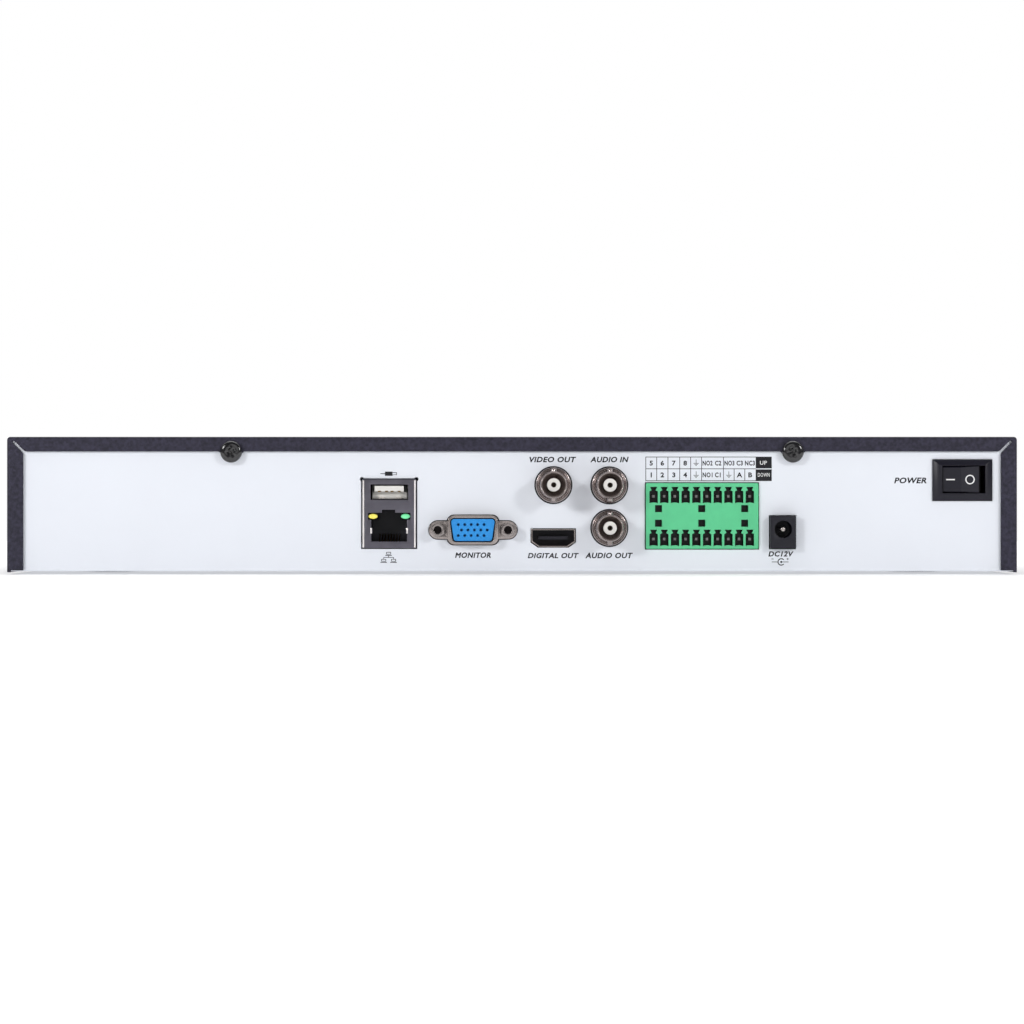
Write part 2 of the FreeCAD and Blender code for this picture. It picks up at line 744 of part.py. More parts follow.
def heat_sink():
    """Finned aluminium block on the processor."""
    x, y = cpu_mid
    base_z = board_top_z + cpu_height
    parts = [block(about(x, sink_size), about(y, sink_size), (base_z, base_z + 3))]
    for i in range(fin_count):
        fin_x = x + (i - (fin_count - 1) / 2) * fin_pitch
        parts.append(block(about(fin_x, fin_thick), about(y, sink_size), (base_z + 3, base_z + 16)))
    return fuse(parts)


def processor():
    """Main processor under the heat sink."""
    return on_board(about(cpu_mid[0], cpu_size), about(cpu_mid[1], cpu_size), cpu_height)


def memory_chips():
    """Four memory chips in a row beside the processor."""
    return group([on_board(about(memory_x, 9), about(y, 12), 1.1) for y in memory_y])


def capacitors():
    """Upright electrolytic capacitors of the power stage."""
    cans = []
    top_z = board_top_z + capacitor_height
    for i, r in enumerate(capacitor_rs):
        can = rod_z(64 + capacitor_pitch * i, capacitor_y, r, (board_top_z, top_z))
        cans.append(can.makeFillet(0.5, [e for e in can.Edges if e.CenterOfMass.z > top_z - 0.5]))
    return group(cans)


def inductors():
    """Two shielded power inductors."""
    return group([rounded(on_board(about(x, coil_size), about(coil_y, coil_size), 6), 1.5, Z_AXIS)
                  for x in coil_x])


def alarm_relays():
    """Three relays behind the terminal block."""
    return group([on_board(about(x, 10), relay_y, relay_height) for x in relay_x])


def network_magnetics():
    """Isolating transformer behind the network socket."""
    return on_board(about(net_mid, 13), (28, 41), 5.5)


def coin_cell():
    """Clock battery."""
    cell = rod_z(*cell_mid, 10, (board_top_z + 1.2, board_top_z + 4.4))
    return cell.makeFillet(0.5, [e for e in cell.Edges if isinstance(e.Curve, Part.Circle)])


def coin_cell_holder():
    """Open round holder of the clock battery."""
    x, y = cell_mid
    ring = rod_z(x, y, 12, (board_top_z, board_top_z + 3.4))
    ring = ring.cut(rod_z(x, y, 10.2, (board_top_z + 1.2, board_top_z + 4)))
    return ring.cut(block(about(x, 8), (y + 8, y + 13), (board_top_z + 1.2, board_top_z + 4)))


def buzzer():
    """Round alarm sounder with a sound hole."""
    can = rod_z(*buzzer_mid, 6, (board_top_z, board_top_z + 7.5))
    return can.cut(rod_z(*buzzer_mid, 1.0, (board_top_z + 4, board_top_z + 8)))


def board_sockets():
    """Sockets for the drive's two leads, the fan, the switch and the front ribbon."""
    edge = (board_y[1] - 9.0, board_y[1])
    return group([block(about(data_plug_x, 14), edge, plug_z),
                  block(about(power_plug_x, 16), edge, plug_z),
                  block((-56, -48), about(68, 9), (board_top_z, 14.0)),
                  block((99.5, 108.5), about(65, 12), (board_top_z, 15.5)),
                  block(about(ribbon_x, 15), (98, 108), (board_top_z, 14.0))])


# Hard drive

def drive_screw_places():
    """Middle of each of the four holes that hold the drive down."""
    mid_y = sum(drive_y) / 2
    return [(x, mid_y + s * 47.6) for x in (-126.7, -65.0) for s in (-1, 1)]


def drive_cavity():
    """Room for the discs and the arm inside the drive."""
    zs = (8.0, drive_z[1] + 1)
    return rod_z(*spindle, platter_r + 1.6, zs).fuse(block((-92.0, -25.0), (137.0, 229.0), zs))


def drive_base():
    """Cast tub of the hard drive with its two fixed spindles."""
    lid_z = drive_z[1] - 1.1
    tub = rounded(block(drive_x, drive_y, (drive_z[0], lid_z)), 2.5, Z_AXIS)
    tub = tub.cut(drive_cavity())
    posts = [rod_z(*spindle, post_r, (8.0, 26.0)), rod_z(*arm_pivot, post_r, (8.0, 26.0))]
    tub = fuse([tub] + posts)
    cuts = [block((-101, -29), (141, 225), (drive_z[0] - 1, drive_z[0] + 1.6))]
    cuts += [rod_z(x, y, 1.5, (drive_z[0] - 1, drive_z[0] + 3.8)) for x, y in drive_screw_places()]
    return tub.cut(group(cuts))


def drive_lid():
    """Flat stamped lid of the hard drive."""
    lid = block(drive_x, drive_y, (drive_z[1] - 1.1, drive_z[1]))
    return rounded(lid, 2.5, Z_AXIS)


def drive_board():
    """Controller board let into the underside of the drive."""
    return block((-100, -30), (142, 224), (drive_z[0] + 0.2, drive_z[0] + 1.5))


def drive_platters():
    """Two discs and their hub, which turn on the spindle."""
    parts = [rod_z(*spindle, 12.5, (8.6, 26.4))]
    parts += [rod_z(*spindle, platter_r, (z, z + platter_thick)) for z in platter_z]
    return fuse(parts).cut(rod_z(*spindle, post_bore_r, (8.0, 27.0)))


def drive_arm():
    """Head arm: bearing barrel, three stacked arms, and the coil on its tail."""
    x, y = arm_pivot
    parts = [rod_z(x, y, 7.0, (9.0, 25.6))]
    for z in (10.6, 16.6, 23.4):
        arm = Part.Face(Part.makePolygon([V(x + 4, y - 5, z), V(x + 4, y + 5, z), V(x + 45, y + 1.6, z),
                                          V(x + 45, y - 1.6, z), V(x + 4, y - 5, z)]))
        parts.append(arm.extrude(V(0, 0, 0.9)))
    coil = block((x - 26, x - 5), about(y, 16), (16.0, 18.4))
    parts.append(rounded(coil, 4.0, Z_AXIS, lambda c: c.x < x - 20))
    arm = fuse(parts).cut(rod_z(x, y, post_bore_r, (8.0, 27.0)))
    arm.rotate(V(x, y, 0), Z_AXIS, arm_rest_deg)
    return arm


def drive_magnet():
    """Magnet block under the arm's coil."""
    x, y = arm_pivot
    ring = rod_z(x, y, 29.0, (8.0, 12.4)).cut(rod_z(x, y, 13.0, (7.0, 15.0)))
    return ring.common(block((x - 16, x + 29), (y - 30, y - 2), (7.0, 15.0)))


def drive_spacers():
    """Four raised rings that the drive stands on."""
    return group([rod_z(x, y, 4.0, (tray_skin, drive_z[0])).cut(rod_z(x, y, 1.7, (0, 5)))
                  for x, y in drive_screw_places()])


def drive_screws():
    """Four flat-head screws that come up through the floor."""
    screws = []
    for x, y in drive_screw_places():
        head = rod_z(x, y, 2.9, (0.05, tray_skin))
        cross = fuse([block(about(x, 3.4), about(y, 0.9), (-1, 0.6)),
                      block(about(x, 0.9), about(y, 3.4), (-1, 0.6))])
        screws.append(fuse([head, rod_z(x, y, m3_r, (tray_skin, drive_z[0] + 3.2))]).cut(cross))
    return group(screws)


# Fan

def fan_frame():
    """Square fan housing: a round duct, four screw holes and a hub held by four struts."""
    y, z = fan_mid
    frame = rounded(block(fan_x, about(y, fan_size), about(z, fan_size)), 2.5, X_AXIS)
    frame = frame.cut(rod_x(y, z, fan_duct_r, grown(fan_x, 1)))
    web = (fan_x[1] - 1.4, fan_x[1])
    struts = [block(web, about(y, 2 * fan_duct_r + 1), about(z, 1.8)),
              block(web, about(y, 1.8), about(z, 2 * fan_duct_r + 1))]
    frame = fuse([frame, rod_x(y, z, 9.0, web)] + struts)
    holes = [rod_x(y + dy, z + dz, 2.15, grown(fan_x, 1)) for dy in fan_screw_reach for dz in fan_screw_reach]
    holes.append(rod_x(y, z, 1.06, (web[0] - 1, web[1] - 0.3)))
    return frame.cut(group(holes))


def fan_rotor():
    """Hub with seven pitched blades and its shaft."""
    y, z = fan_mid
    x_mid = sum(fan_x) / 2 - 0.6
    hub = rod_x(y, z, fan_hub_r, (fan_x[0] + 0.8, fan_x[1] - 1.8))
    parts = [hub, rod_x(y, z, 1.0, (fan_x[1] - 1.9, fan_x[1] - 0.5))]
    for i in range(blade_count):
        blade = block((-4.2, 4.2), (-0.5, 0.5), (fan_hub_r - 0.6, fan_duct_r - 0.8))
        blade.rotate(V(0, 0, 0), Z_AXIS, blade_pitch_deg)
        blade.rotate(V(0, 0, 0), X_AXIS, 360 * i / blade_count)
        blade.translate(V(x_mid, y, z))
        parts.append(blade)
    return fuse(parts)


def fan_screws():
    """Four screws through the fan's corners into the tray's wall."""
    y, z = fan_mid
    screw = pan_screw(0, 0, 0, pan_head_r, pan_head_height, m3_r, fan_thick + 0.9)
    screw.rotate(V(0, 0, 0), Z_AXIS, 90)
    return group([screw.translated(V(fan_x[1], y + dy, z + dz)) for dy in fan_screw_reach
                  for dz in fan_screw_reach])


# Leads inside the case

def rounded_path(points):
    """Straight runs joined by tangent arcs, each as large as its two runs allow."""
    edges = []
    start = points[0]
    for before, corner, after in zip(points, points[1:], points[2:]):
        back, ahead = before - corner, after - corner
        turn = math.pi - back.getAngle(ahead)
        shorter = min(back.Length, ahead.Length)
        set_back = 0.45 * shorter
        radius = set_back / math.tan(turn / 2)
        leave = corner + back.normalize() * set_back
        rejoin = corner + ahead.normalize() * set_back
        inward = (back + ahead).normalize()
        middle = corner + inward * (math.hypot(radius, set_back) - radius)
        edges.append(Part.LineSegment(start, leave).toShape())
        edges.append(Part.Arc(leave, middle, rejoin).toShape())
        start = rejoin
        print("  bend radius", round(radius, 1))
    edges.append(Part.LineSegment(start, points[-1]).toShape())
    return Part.Wire(edges)


def lead(name, points, section, area):
    """Sweeps a section along a rounded path and compares its volume with area times length."""
    path = rounded_path([V(*p) for p in points])
    solid = path.makePipeShell([section], True, False)
    print(name, "volume over section times length", round(solid.Volume / (area * path.Length), 4))
    return solid


def round_lead(name, points, r):
    """A round lead."""
    start, ahead = V(*points[0]), V(*points[1])
    ring = Part.Wire(Part.makeCircle(r, start, (ahead - start).normalize()))
    return lead(name, points, ring, math.pi * r * r)


def switch_sleeves():
    """Insulating sleeves over the switch's two blades."""
    x, z = switch_mid
    sleeves = []
    for s in (-1, 1):
        sleeve = block(about(x + s * 4.5, 2.6), (switch_depth + 1.5, switch_depth + 13), about(z, 6.8))
        sleeves.append(rounded(sleeve, 0.8, Y_AXIS))
    return group(sleeves).cut(switch_terminals())


def switch_wires():
    """Two wires from the switch to the board's supply plug."""
    x, z = switch_mid
    start_y = switch_depth + 13
    wires = []
    for s, land_y, far_y, knee_x in ((-1, 62.5, 46, 148), (1, 67.5, 50, 156)):
        points = [(x + s * 4.5, start_y, z), (x + s * 4.5, far_y, z), (knee_x, land_y, 22),
                  (knee_x - 24, land_y, cable_z), (108.5, land_y, cable_z)]
        wires.append(round_lead("switch wire", points, 0.9))
    return group(wires)


def drive_plugs():
    """Plugs at both ends of the drive's two leads."""
    board_end = (board_y[1], board_y[1] + lead_plug)
    drive_end = (drive_x[1], drive_x[1] + lead_plug)
    tall = (9.0, 15.0)
    return group([block(about(data_plug_x, 12), board_end, tall),
                  block(about(power_plug_x, 14), board_end, tall),
                  block(drive_end, about(drive_lead_y[0], 12), tall),
                  block(drive_end, about(drive_lead_y[1], 14), tall)])


def drive_data_lead():
    """Round data lead from the board to the drive."""
    y0, x1 = board_y[1] + lead_plug, drive_x[1] + lead_plug
    points = [(data_plug_x, y0, cable_z), (data_plug_x, y0 + 11, cable_z),
              (data_plug_x - 7, drive_lead_y[0], cable_z), (x1, drive_lead_y[0], cable_z)]
    return round_lead("drive data lead", points, 2.2)


def drive_power_lead():
    """Sleeved supply lead from the board to the drive."""
    y0, x1 = board_y[1] + lead_plug, drive_x[1] + lead_plug
    points = [(power_plug_x, y0, cable_z), (power_plug_x, y0 + 24, cable_z),
              (power_plug_x - 16, drive_lead_y[1], cable_z), (x1, drive_lead_y[1], cable_z)]
    return round_lead("drive power lead", points, 2.6)


def fan_lead():
    """Thin lead from the fan to the board."""
    points = [(fan_x[1], 68, 5), (-140, 68, 5), (-96, 68, 11), (-56, 68, 11)]
    return round_lead("fan lead", points, 1.2)


def front_ribbon():
    """Flat ribbon from the front board to the main board."""
    wide, thick = 12.0, 1.0
    z0 = front_z - 1
    points = [(ribbon_x, fascia_back, z0), (ribbon_x, 228, z0), (ribbon_x, 205, 6), (ribbon_x, 150, 6),
              (ribbon_x, 128, 11.5), (ribbon_x, 108, 11.5)]
    x0, x1 = about(ribbon_x, wide)
    ring = [V(x0, fascia_back, z0 - thick / 2), V(x1, fascia_back, z0 - thick / 2),
            V(x1, fascia_back, z0 + thick / 2), V(x0, fascia_back, z0 + thick / 2)]
    section = Part.makePolygon(ring + ring[:1])
    return lead("front ribbon", points, section, wide * thick)


# Front

def front_fascia():
    """Moulded front cap with screw bosses, a lens recess and a socket mouth."""
    ys = (fascia_back, front_face)
    cap = block((-half_width, half_width), ys, (cover_foot_z, body_height))
    front_rim = [e for e in cap.Edges if abs(e.CenterOfMass.y - front_face) < 0.01]
    cap = cap.makeFillet(2.0, front_rim)
    room_y = (fascia_back - 1, front_face - fascia_skin)
    cap = cap.cut(block(grown((-half_width, half_width), -fascia_skin), room_y, (2.4, 45.6)))
    bosses = [rod_y(x, front_z, 3.5, (fascia_back, front_face - fascia_skin)) for x in fascia_screw_x]
    cap = fuse([cap] + bosses)
    cuts = [rod_y(x, front_z, 1.2, (fascia_back - 1, fascia_back + 7)) for x in fascia_screw_x]
    recess = block(lens_x, (front_face - 1.2, front_face + 1), lens_z)
    cuts.append(rounded(recess, 2.0, Y_AXIS))
    cuts.append(block(grown(lens_x, -2), (front_face - 4, front_face), grown(lens_z, -2)))
    cuts.append(block(about(front_usb_x, 14.6), (front_face - 4, front_face + 1), about(front_z, 7.2)))
    return cap.cut(group(cuts))


def front_lens():
    """Dark window over the lamps and the remote-control eye."""
    lens = block(grown(lens_x, -0.15), (front_face - 1.2, front_face - 0.1), grown(lens_z, -0.15))
    return rounded(lens, 1.85, Y_AXIS)


def front_board():
    """Small upright board behind the fascia."""
    board = block(front_board_x, (front_face - 8, front_face - 6.4), (9, 39))
    return board.cut(block(about(front_usb_x, 14.8), (front_face - 9, front_face - 6), about(front_z, 7.4)))


def front_light_guides():
    """Three clear rods that carry the lamps' light to the lens."""
    return group([rod_y(x, front_z, 1.5, (front_face - 6.4, front_face - 1.2)) for x in lamp_x])


def front_usb_shell():
    """Folded metal shell of the front socket."""
    ys = (front_face - 15.0, front_face - 0.6)
    shell = rounded(block(about(front_usb_x, 14.2), ys, about(front_z, 6.8)), 0.6, Y_AXIS)
    return shell.cut(block(about(front_usb_x, 13.2), grown(ys, 1), about(front_z, 5.8)))


def front_usb_tongue():
    """White contact tongue of the front socket."""
    back = (front_face - 15.0, front_face - 13.4)
    tongue = block(about(front_usb_x, 10.4), (front_face - 13.4, front_face - 2.0),
                   (front_z + 0.2, front_z + 2.2))
    return fuse([block(about(front_usb_x, 13.0), back, about(front_z, 5.6)), tongue])


def fascia_screws():
    """Four screws from inside the tray into the fascia's bosses."""
    return group([pan_screw(x, front_z, wall_front, pan_head_r, pan_head_height, fascia_thread_r, 7.0)
                  for x in fascia_screw_x])


def ribbon_plug():
    """Plug on the back of the front board."""
    return block(about(ribbon_x, 14), (fascia_back, front_face - 8), about(front_z - 1, 5))


def main():
    """Builds every piece and writes it."""
    os.makedirs("parts", exist_ok=True)
    pieces = {
        "chassis_tray": chassis_tray(),
        "top_cover": top_cover(),
        "cover_screws": cover_screws(),
        "rubber_feet": rubber_feet(),
        "network_shield": network_shield(),
        "network_body": network_body(),
        "port_contacts": group([network_contacts(), usb_contacts(net_mid, -net_out, usb_mouth[1])]),
        "link_lamp_yellow": link_lamp(lan_lamp_x[0]),
        "link_lamp_green": link_lamp(lan_lamp_x[1]),
        "usb_tongue": usb_block(net_mid, -net_out, usb_mouth[1]),
        "monitor_socket_shell": monitor_shell(),
        "monitor_socket_insert": monitor_insert(),
        "monitor_socket_body": monitor_body(),
        "monitor_socket_posts": monitor_posts(),
        "digital_socket_shell": digital_shell(),
        "digital_socket_tongue": digital_tongue(),
        "coax_jacks": coax_jacks(),
        "coax_insulators": coax_insulators(),
        "coax_contacts": coax_contacts(),
        "coax_bases": coax_bases(),
        "terminal_header": terminal_header(),
        "terminal_pins": group([term_pin(*place) for place in term_places()]),
        "dc_socket_body": dc_body(),
        "dc_socket_contacts": group([dc_pin(), dc_spring()]),
        "switch_housing": switch_housing(),
        "switch_rocker": switch_rocker(),
        "switch_terminals": switch_terminals(),
        "switch_leads": group([switch_sleeves(), switch_wires()]),
        "main_board": main_board(),
        "board_standoffs": board_standoffs(),
        "board_screws": board_screws(),
        "board_chips": group([processor(), memory_chips()]),
        "board_coils": group([inductors(), network_magnetics()]),
        "heat_sink": heat_sink(),
        "capacitors": capacitors(),
        "alarm_relays": alarm_relays(),
        "coin_cell": coin_cell(),
        "coin_cell_holder": coin_cell_holder(),
        "buzzer": buzzer(),
        "board_sockets": board_sockets(),
        "drive_base": drive_base(),
        "drive_lid": drive_lid(),
        "drive_board": drive_board(),
        "drive_platters": drive_platters(),
        "drive_arm": drive_arm(),
        "drive_magnet": drive_magnet(),
        "drive_mounts": group([drive_spacers(), drive_screws()]),
        "drive_leads": group([drive_plugs(), drive_data_lead(), drive_power_lead()]),
        "fan_frame": fan_frame(),
        "fan_rotor": fan_rotor(),
        "fan_screws": fan_screws(),
        "fan_lead": fan_lead(),
        "front_ribbon": group([front_ribbon(), ribbon_plug()]),
        "front_fascia": front_fascia(),
        "front_lens": front_lens(),
        "front_board": front_board(),
        "front_light_guides": front_light_guides(),
        "front_usb_shell": front_usb_shell(),
        "front_usb_tongue": front_usb_tongue(),
        "fascia_screws": fascia_screws(),
    }
    for node, shape in pieces.items():
        save(node, shape)
        print(node, len(shape.Solids), "solids", round(shape.Volume, 1), "mm3", shape.isValid())


main()
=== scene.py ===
# %% [markdown]
# # A slim surveillance recorder, seen from its socket side
# This lesson dresses a finished engineering model. The frame holds sixty pieces, from the folded
# steel tray to the head arm of the hard drive, and each already has its true size and place.
# Blender's share is the looks: paint, plating, moulded plastic, printed legends, turned metal, and
# the small parts that crowd a circuit board. Everything is in metres, so a helper named `mm` lets
# the sizes below read the way a drawing gives them.

# %% Load the frame
import json
import math
import random

import bpy
from mathutils import Matrix, Vector


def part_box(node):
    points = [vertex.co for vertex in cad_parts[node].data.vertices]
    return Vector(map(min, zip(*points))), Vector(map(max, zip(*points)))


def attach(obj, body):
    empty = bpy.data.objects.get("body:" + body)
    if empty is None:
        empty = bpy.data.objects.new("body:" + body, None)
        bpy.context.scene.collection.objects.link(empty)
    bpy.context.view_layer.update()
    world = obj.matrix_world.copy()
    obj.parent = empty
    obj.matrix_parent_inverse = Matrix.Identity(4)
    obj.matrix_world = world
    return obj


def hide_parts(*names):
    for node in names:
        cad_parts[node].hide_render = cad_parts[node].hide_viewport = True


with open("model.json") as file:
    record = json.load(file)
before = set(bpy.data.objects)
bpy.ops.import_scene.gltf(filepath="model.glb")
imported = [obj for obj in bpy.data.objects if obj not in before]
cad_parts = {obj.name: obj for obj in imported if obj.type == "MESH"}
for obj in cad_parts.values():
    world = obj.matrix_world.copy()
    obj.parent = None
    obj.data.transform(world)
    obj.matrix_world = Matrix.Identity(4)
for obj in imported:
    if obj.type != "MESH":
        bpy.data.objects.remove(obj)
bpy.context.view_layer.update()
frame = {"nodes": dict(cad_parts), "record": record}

nodes = frame["nodes"]
mm = 0.001

# %% [markdown]
# ## Reference places
# Every place below comes from a node's box or from the whole box. The rear panel's outer face is
# the plane that carries all the sockets. `at` turns a place on the panel, given in millimetres from
# its middle and from the underside of the tray, into a point of the frame.

# %% Reference places
tray_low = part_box("chassis_tray")[0]
panel_y = tray_low.y
floor_z = tray_low.z


def at(x, z, out=0.0):
    """A point on the rear panel, `out` millimetres proud of it."""
    return Vector((x * mm, panel_y - out * mm, floor_z + z * mm))


print("rear panel at y", round(panel_y, 5), "tray underside at z", round(floor_z, 5))

# %% [markdown]
# ## Camera
# The recorder is looked at square on, from well back, as a catalogue does: a long lens keeps the
# case's sides from showing. The camera stands level at less than half the case's height, so the top
# stays hidden. The lens follows from the width of panel that has to fill the frame.

# %% Camera
camera_distance = 1.25
view_width = 365.1 * mm
eye_height = 21.2 * mm

camera_data = bpy.data.cameras.new("catalogue_camera")
camera_data.lens = camera_data.sensor_width * camera_distance / view_width
camera = bpy.data.objects.new("catalogue_camera", camera_data)
bpy.context.scene.collection.objects.link(camera)
camera.location = (0.0, panel_y - camera_distance, floor_z + eye_height)
camera.rotation_euler = (math.radians(90), 0.0, 0.0)
bpy.context.scene.camera = camera
print("lens", round(camera_data.lens, 1), "mm")

# %% [markdown]
# ## Helpers for modelling
# An operator works on whatever is selected, so each piece starts from an empty selection. `settle`
# writes an object's place into its mesh, so that patterns on object coordinates stay put, and
# turns all faces outwards.

# %% Helpers for modelling
def clear_selection():
    """Leaves object mode with nothing selected."""
    if bpy.context.object and bpy.context.object.mode != "OBJECT":
        bpy.ops.object.mode_set(mode="OBJECT")
    bpy.ops.object.select_all(action="DESELECT")


def pick(*objects):
    """Selects these objects and makes the first one active."""
    clear_selection()
    for each in objects:
        each.select_set(True)
    bpy.context.view_layer.objects.active = objects[0]
    return objects[0]


def settle(piece, name):
    """Applies place, turn and size to the mesh, merges doubles and turns faces outwards."""
    pick(piece)
    bpy.ops.object.transform_apply(location=True, rotation=True, scale=True)
    bpy.ops.object.mode_set(mode="EDIT")
    bpy.ops.mesh.select_all(action="SELECT")
    bpy.ops.mesh.remove_doubles(threshold=1e-6)
    bpy.ops.mesh.normals_make_consistent(inside=False)
    bpy.ops.object.mode_set(mode="OBJECT")
    piece.name = name
    piece.data.name = name
    return piece


def bevelled(piece, width, segments=2, angle=35):
    """Rounds every edge sharper than an angle with a bevel that is applied at once."""
    pick(piece)
    modifier = piece.modifiers.new("edge_round", "BEVEL")
    modifier.width = width
    modifier.segments = segments
    modifier.limit_method = "ANGLE"
    modifier.angle_limit = math.radians(angle)
    modifier.harden_normals = False
    bpy.ops.object.modifier_apply(modifier=modifier.name)
    bpy.ops.object.shade_smooth_by_angle(angle=math.radians(angle))
    return piece


def joined(pieces, name):
    """Joins pieces into one object under a plain name."""
    pick(*pieces)
    if len(pieces) > 1:
        bpy.ops.object.join()
    result = bpy.context.view_layer.objects.active
    result.name = name
    result.data.name = name
    return result


def finish_piece(piece, body, slot, material, *replaced):
    """Gives a piece its finish and its body, and hides the nodes it stands for. The slot is not used."""
    piece.data.materials.clear()
    piece.data.materials.append(material)
    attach(piece, body)
    if replaced:
        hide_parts(*replaced)
    return piece


# %% [markdown]
# ## Helpers for materials
# A painted, plated or moulded surface is never one flat value. `Finish` wraps a Principled shader
# and adds the layers that real surfaces have: a colour that drifts a little, a roughness that
# drifts with it, and a fine relief. All of them read object coordinates in metres, so a grain of a
# given size in millimetres is the same on every piece.

# %% Helpers for materials
class Finish:
    """A Principled material with a few helpers for procedural layers."""

    def __init__(self, name, roughness=0.5, metallic=0.0):
        self.material = bpy.data.materials.new(name)
        self.material.use_nodes = True
        self.tree = self.material.node_tree
        self.shader = self.tree.nodes["Principled BSDF"]
        self.shader.inputs["Roughness"].default_value = roughness
        self.shader.inputs["Metallic"].default_value = metallic
        self.coordinates = self.tree.nodes.new("ShaderNodeTexCoord").outputs["Object"]

    def link(self, source, target):
        """Joins an output socket to an input socket."""
        self.tree.links.new(source, target)

    def stretched(self, scale):
        """Object coordinates squeezed or stretched along each axis."""
        mapping = self.tree.nodes.new("ShaderNodeMapping")
        mapping.inputs["Scale"].default_value = scale
        self.link(self.coordinates, mapping.inputs["Vector"])
        return mapping.outputs["Vector"]

    def noise(self, grain_mm, detail=3.0, stretch=None):
        """Cloudy noise whose lumps are about grain_mm across."""
        texture = self.tree.nodes.new("ShaderNodeTexNoise")
        texture.inputs["Scale"].default_value = 1.0 / (grain_mm * mm)
        texture.inputs["Detail"].default_value = detail
        source = self.stretched(stretch) if stretch else self.coordinates
        self.link(source, texture.inputs["Vector"])
        return texture.outputs["Fac"]

    def ramp(self, factor, stops):
        """Maps a factor onto colours given as (position, colour) pairs."""
        node = self.tree.nodes.new("ShaderNodeValToRGB")
        elements = node.color_ramp.elements
        for element, (position, colour) in zip(elements, stops):
            element.position = position
            element.color = (*colour, 1.0)
        for position, colour in stops[2:]:
            elements.new(position).color = (*colour, 1.0)
        self.link(factor, node.inputs["Fac"])
        return node.outputs["Color"]

    def colour(self, factor, stops):
        """Sends a factor through a colour ramp to the base colour."""
        self.link(self.ramp(factor, stops), self.shader.inputs["Base Color"])
        return self

    def roughness(self, factor, low, high):
        """Lets roughness run between two values with a factor."""
        node = self.tree.nodes.new("ShaderNodeMapRange")
        node.inputs["To Min"].default_value = low
        node.inputs["To Max"].default_value = high
        self.link(factor, node.inputs["Value"])
        self.link(node.outputs["Result"], self.shader.inputs["Roughness"])
        return self

    def relief(self, factor, height_mm, strength=1.0):
        """Adds a bump layer on top of any that is there already."""
        bump = self.tree.nodes.new("ShaderNodeBump")
        bump.inputs["Distance"].default_value = height_mm * mm
        bump.inputs["Strength"].default_value = strength
        self.link(factor, bump.inputs["Height"])
        normal = self.shader.inputs["Normal"]
        if normal.is_linked:
            self.link(normal.links[0].from_socket, bump.inputs["Normal"])
        self.link(bump.outputs["Normal"], normal)
        return self

    def coat(self, weight, roughness):
        """Lays a clear coat over the finish."""
        self.shader.inputs["Coat Weight"].default_value = weight
        self.shader.inputs["Coat Roughness"].default_value = roughness
        return self


def tint(colour, factor):
    """A colour made lighter or darker."""
    return tuple(min(1.0, channel * factor) for channel in colour)


def drifting(finish, colour, spread, grain_mm):
    """Lets a colour wander by plus or minus spread over lumps of a given size."""
    cloud = finish.noise(grain_mm)
    return finish.colour(cloud, [(0.3, tint(colour, 1 - spread)), (0.7, tint(colour, 1 + spread))])


# %% [markdown]
# ## Paint
# The cover has a fine textured powder coat: the powder melts into pebbles about a millimetre apart,
# with painted shade darkening the valleys between them. The tray has a smooth pale coat with a faint
# orange peel. Two layers of noise, one for the pebbles and one for the grit on them, give the first;
# a single broad, shallow one gives the second.

# %% Paint
def cover_powder_coat():
    """The cover's dark textured paint."""
    finish = Finish("cover_powder_coat", 0.55)
    pebbles = finish.noise(1.1, 2.0)
    grit = finish.noise(0.28, 2.0)
    # Painted shade: the pebbles' noise sets the colour as well as the relief, so the valleys are darker.
    finish.colour(pebbles, [(0.30, (0.010, 0.009, 0.020)), (0.70, (0.031, 0.028, 0.053))])
    finish.shader.inputs["Specular IOR Level"].default_value = 0.32
    finish.roughness(grit, 0.42, 0.66)
    finish.relief(pebbles, 0.09, 0.8)
    finish.relief(grit, 0.03, 0.6)
    return finish.material


def panel_smooth_coat():
    """The tray's pale smooth paint."""
    finish = Finish("panel_smooth_coat", 0.38)
    drifting(finish, (0.800, 0.828, 0.885), 0.012, 30.0)
    finish.roughness(finish.noise(2.5), 0.34, 0.44)
    finish.relief(finish.noise(1.6, 1.0), 0.012, 0.5)
    return finish.material


# %% [markdown]
# ## Metal
# Socket shells are nickel plated: grey with a warm brown cast, brushed by handling. Long thin noise
# along one axis reads as drawn or rolled steel. Contacts are flashed with gold, pins are tinned, and
# the cover's screws are blackened and oiled, so they stay glossy.

# %% Metal
def plated(name, colour, rough_low, rough_high, stretch=(1.0, 1.0, 1.0), grain_mm=0.5, relief_mm=0.004):
    """Plated metal of one colour, streaked along the axis that is stretched least."""
    finish = Finish(name, rough_high, 1.0)
    streaks = finish.noise(grain_mm, 4.0, stretch)
    clouds = finish.noise(6.0, 2.0)
    finish.colour(clouds, [(0.3, tint(colour, 0.84)), (0.7, tint(colour, 1.08))])
    finish.roughness(streaks, rough_low, rough_high)
    finish.relief(streaks, relief_mm, 0.6)
    return finish.material


def black_oxide():
    """Blackened and oiled steel."""
    finish = Finish("black_oxide", 0.22, 0.6)
    drifting(finish, (0.022, 0.021, 0.023), 0.25, 0.9)
    finish.roughness(finish.noise(0.4), 0.14, 0.30)
    finish.relief(finish.noise(0.25), 0.004, 0.4)
    return finish.material


# %% [markdown]
# ## Plastic and rubber
# Moulded parts carry the matt grain of their mould. `moulded` makes that for any colour: a fine
# pebble relief, a slow drift in shade, and a roughness to suit.

# %% Plastic and rubber
def moulded(name, colour, roughness=0.5, grain_mm=0.35, relief_mm=0.012, spread=0.06):
    """Matt moulded plastic, rubber or print of one colour."""
    finish = Finish(name, roughness)
    drifting(finish, colour, spread, 5.0)
    grain = finish.noise(grain_mm, 2.0)
    finish.roughness(grain, roughness - 0.07, roughness + 0.07)
    finish.relief(grain, relief_mm, 0.7)
    return finish.material


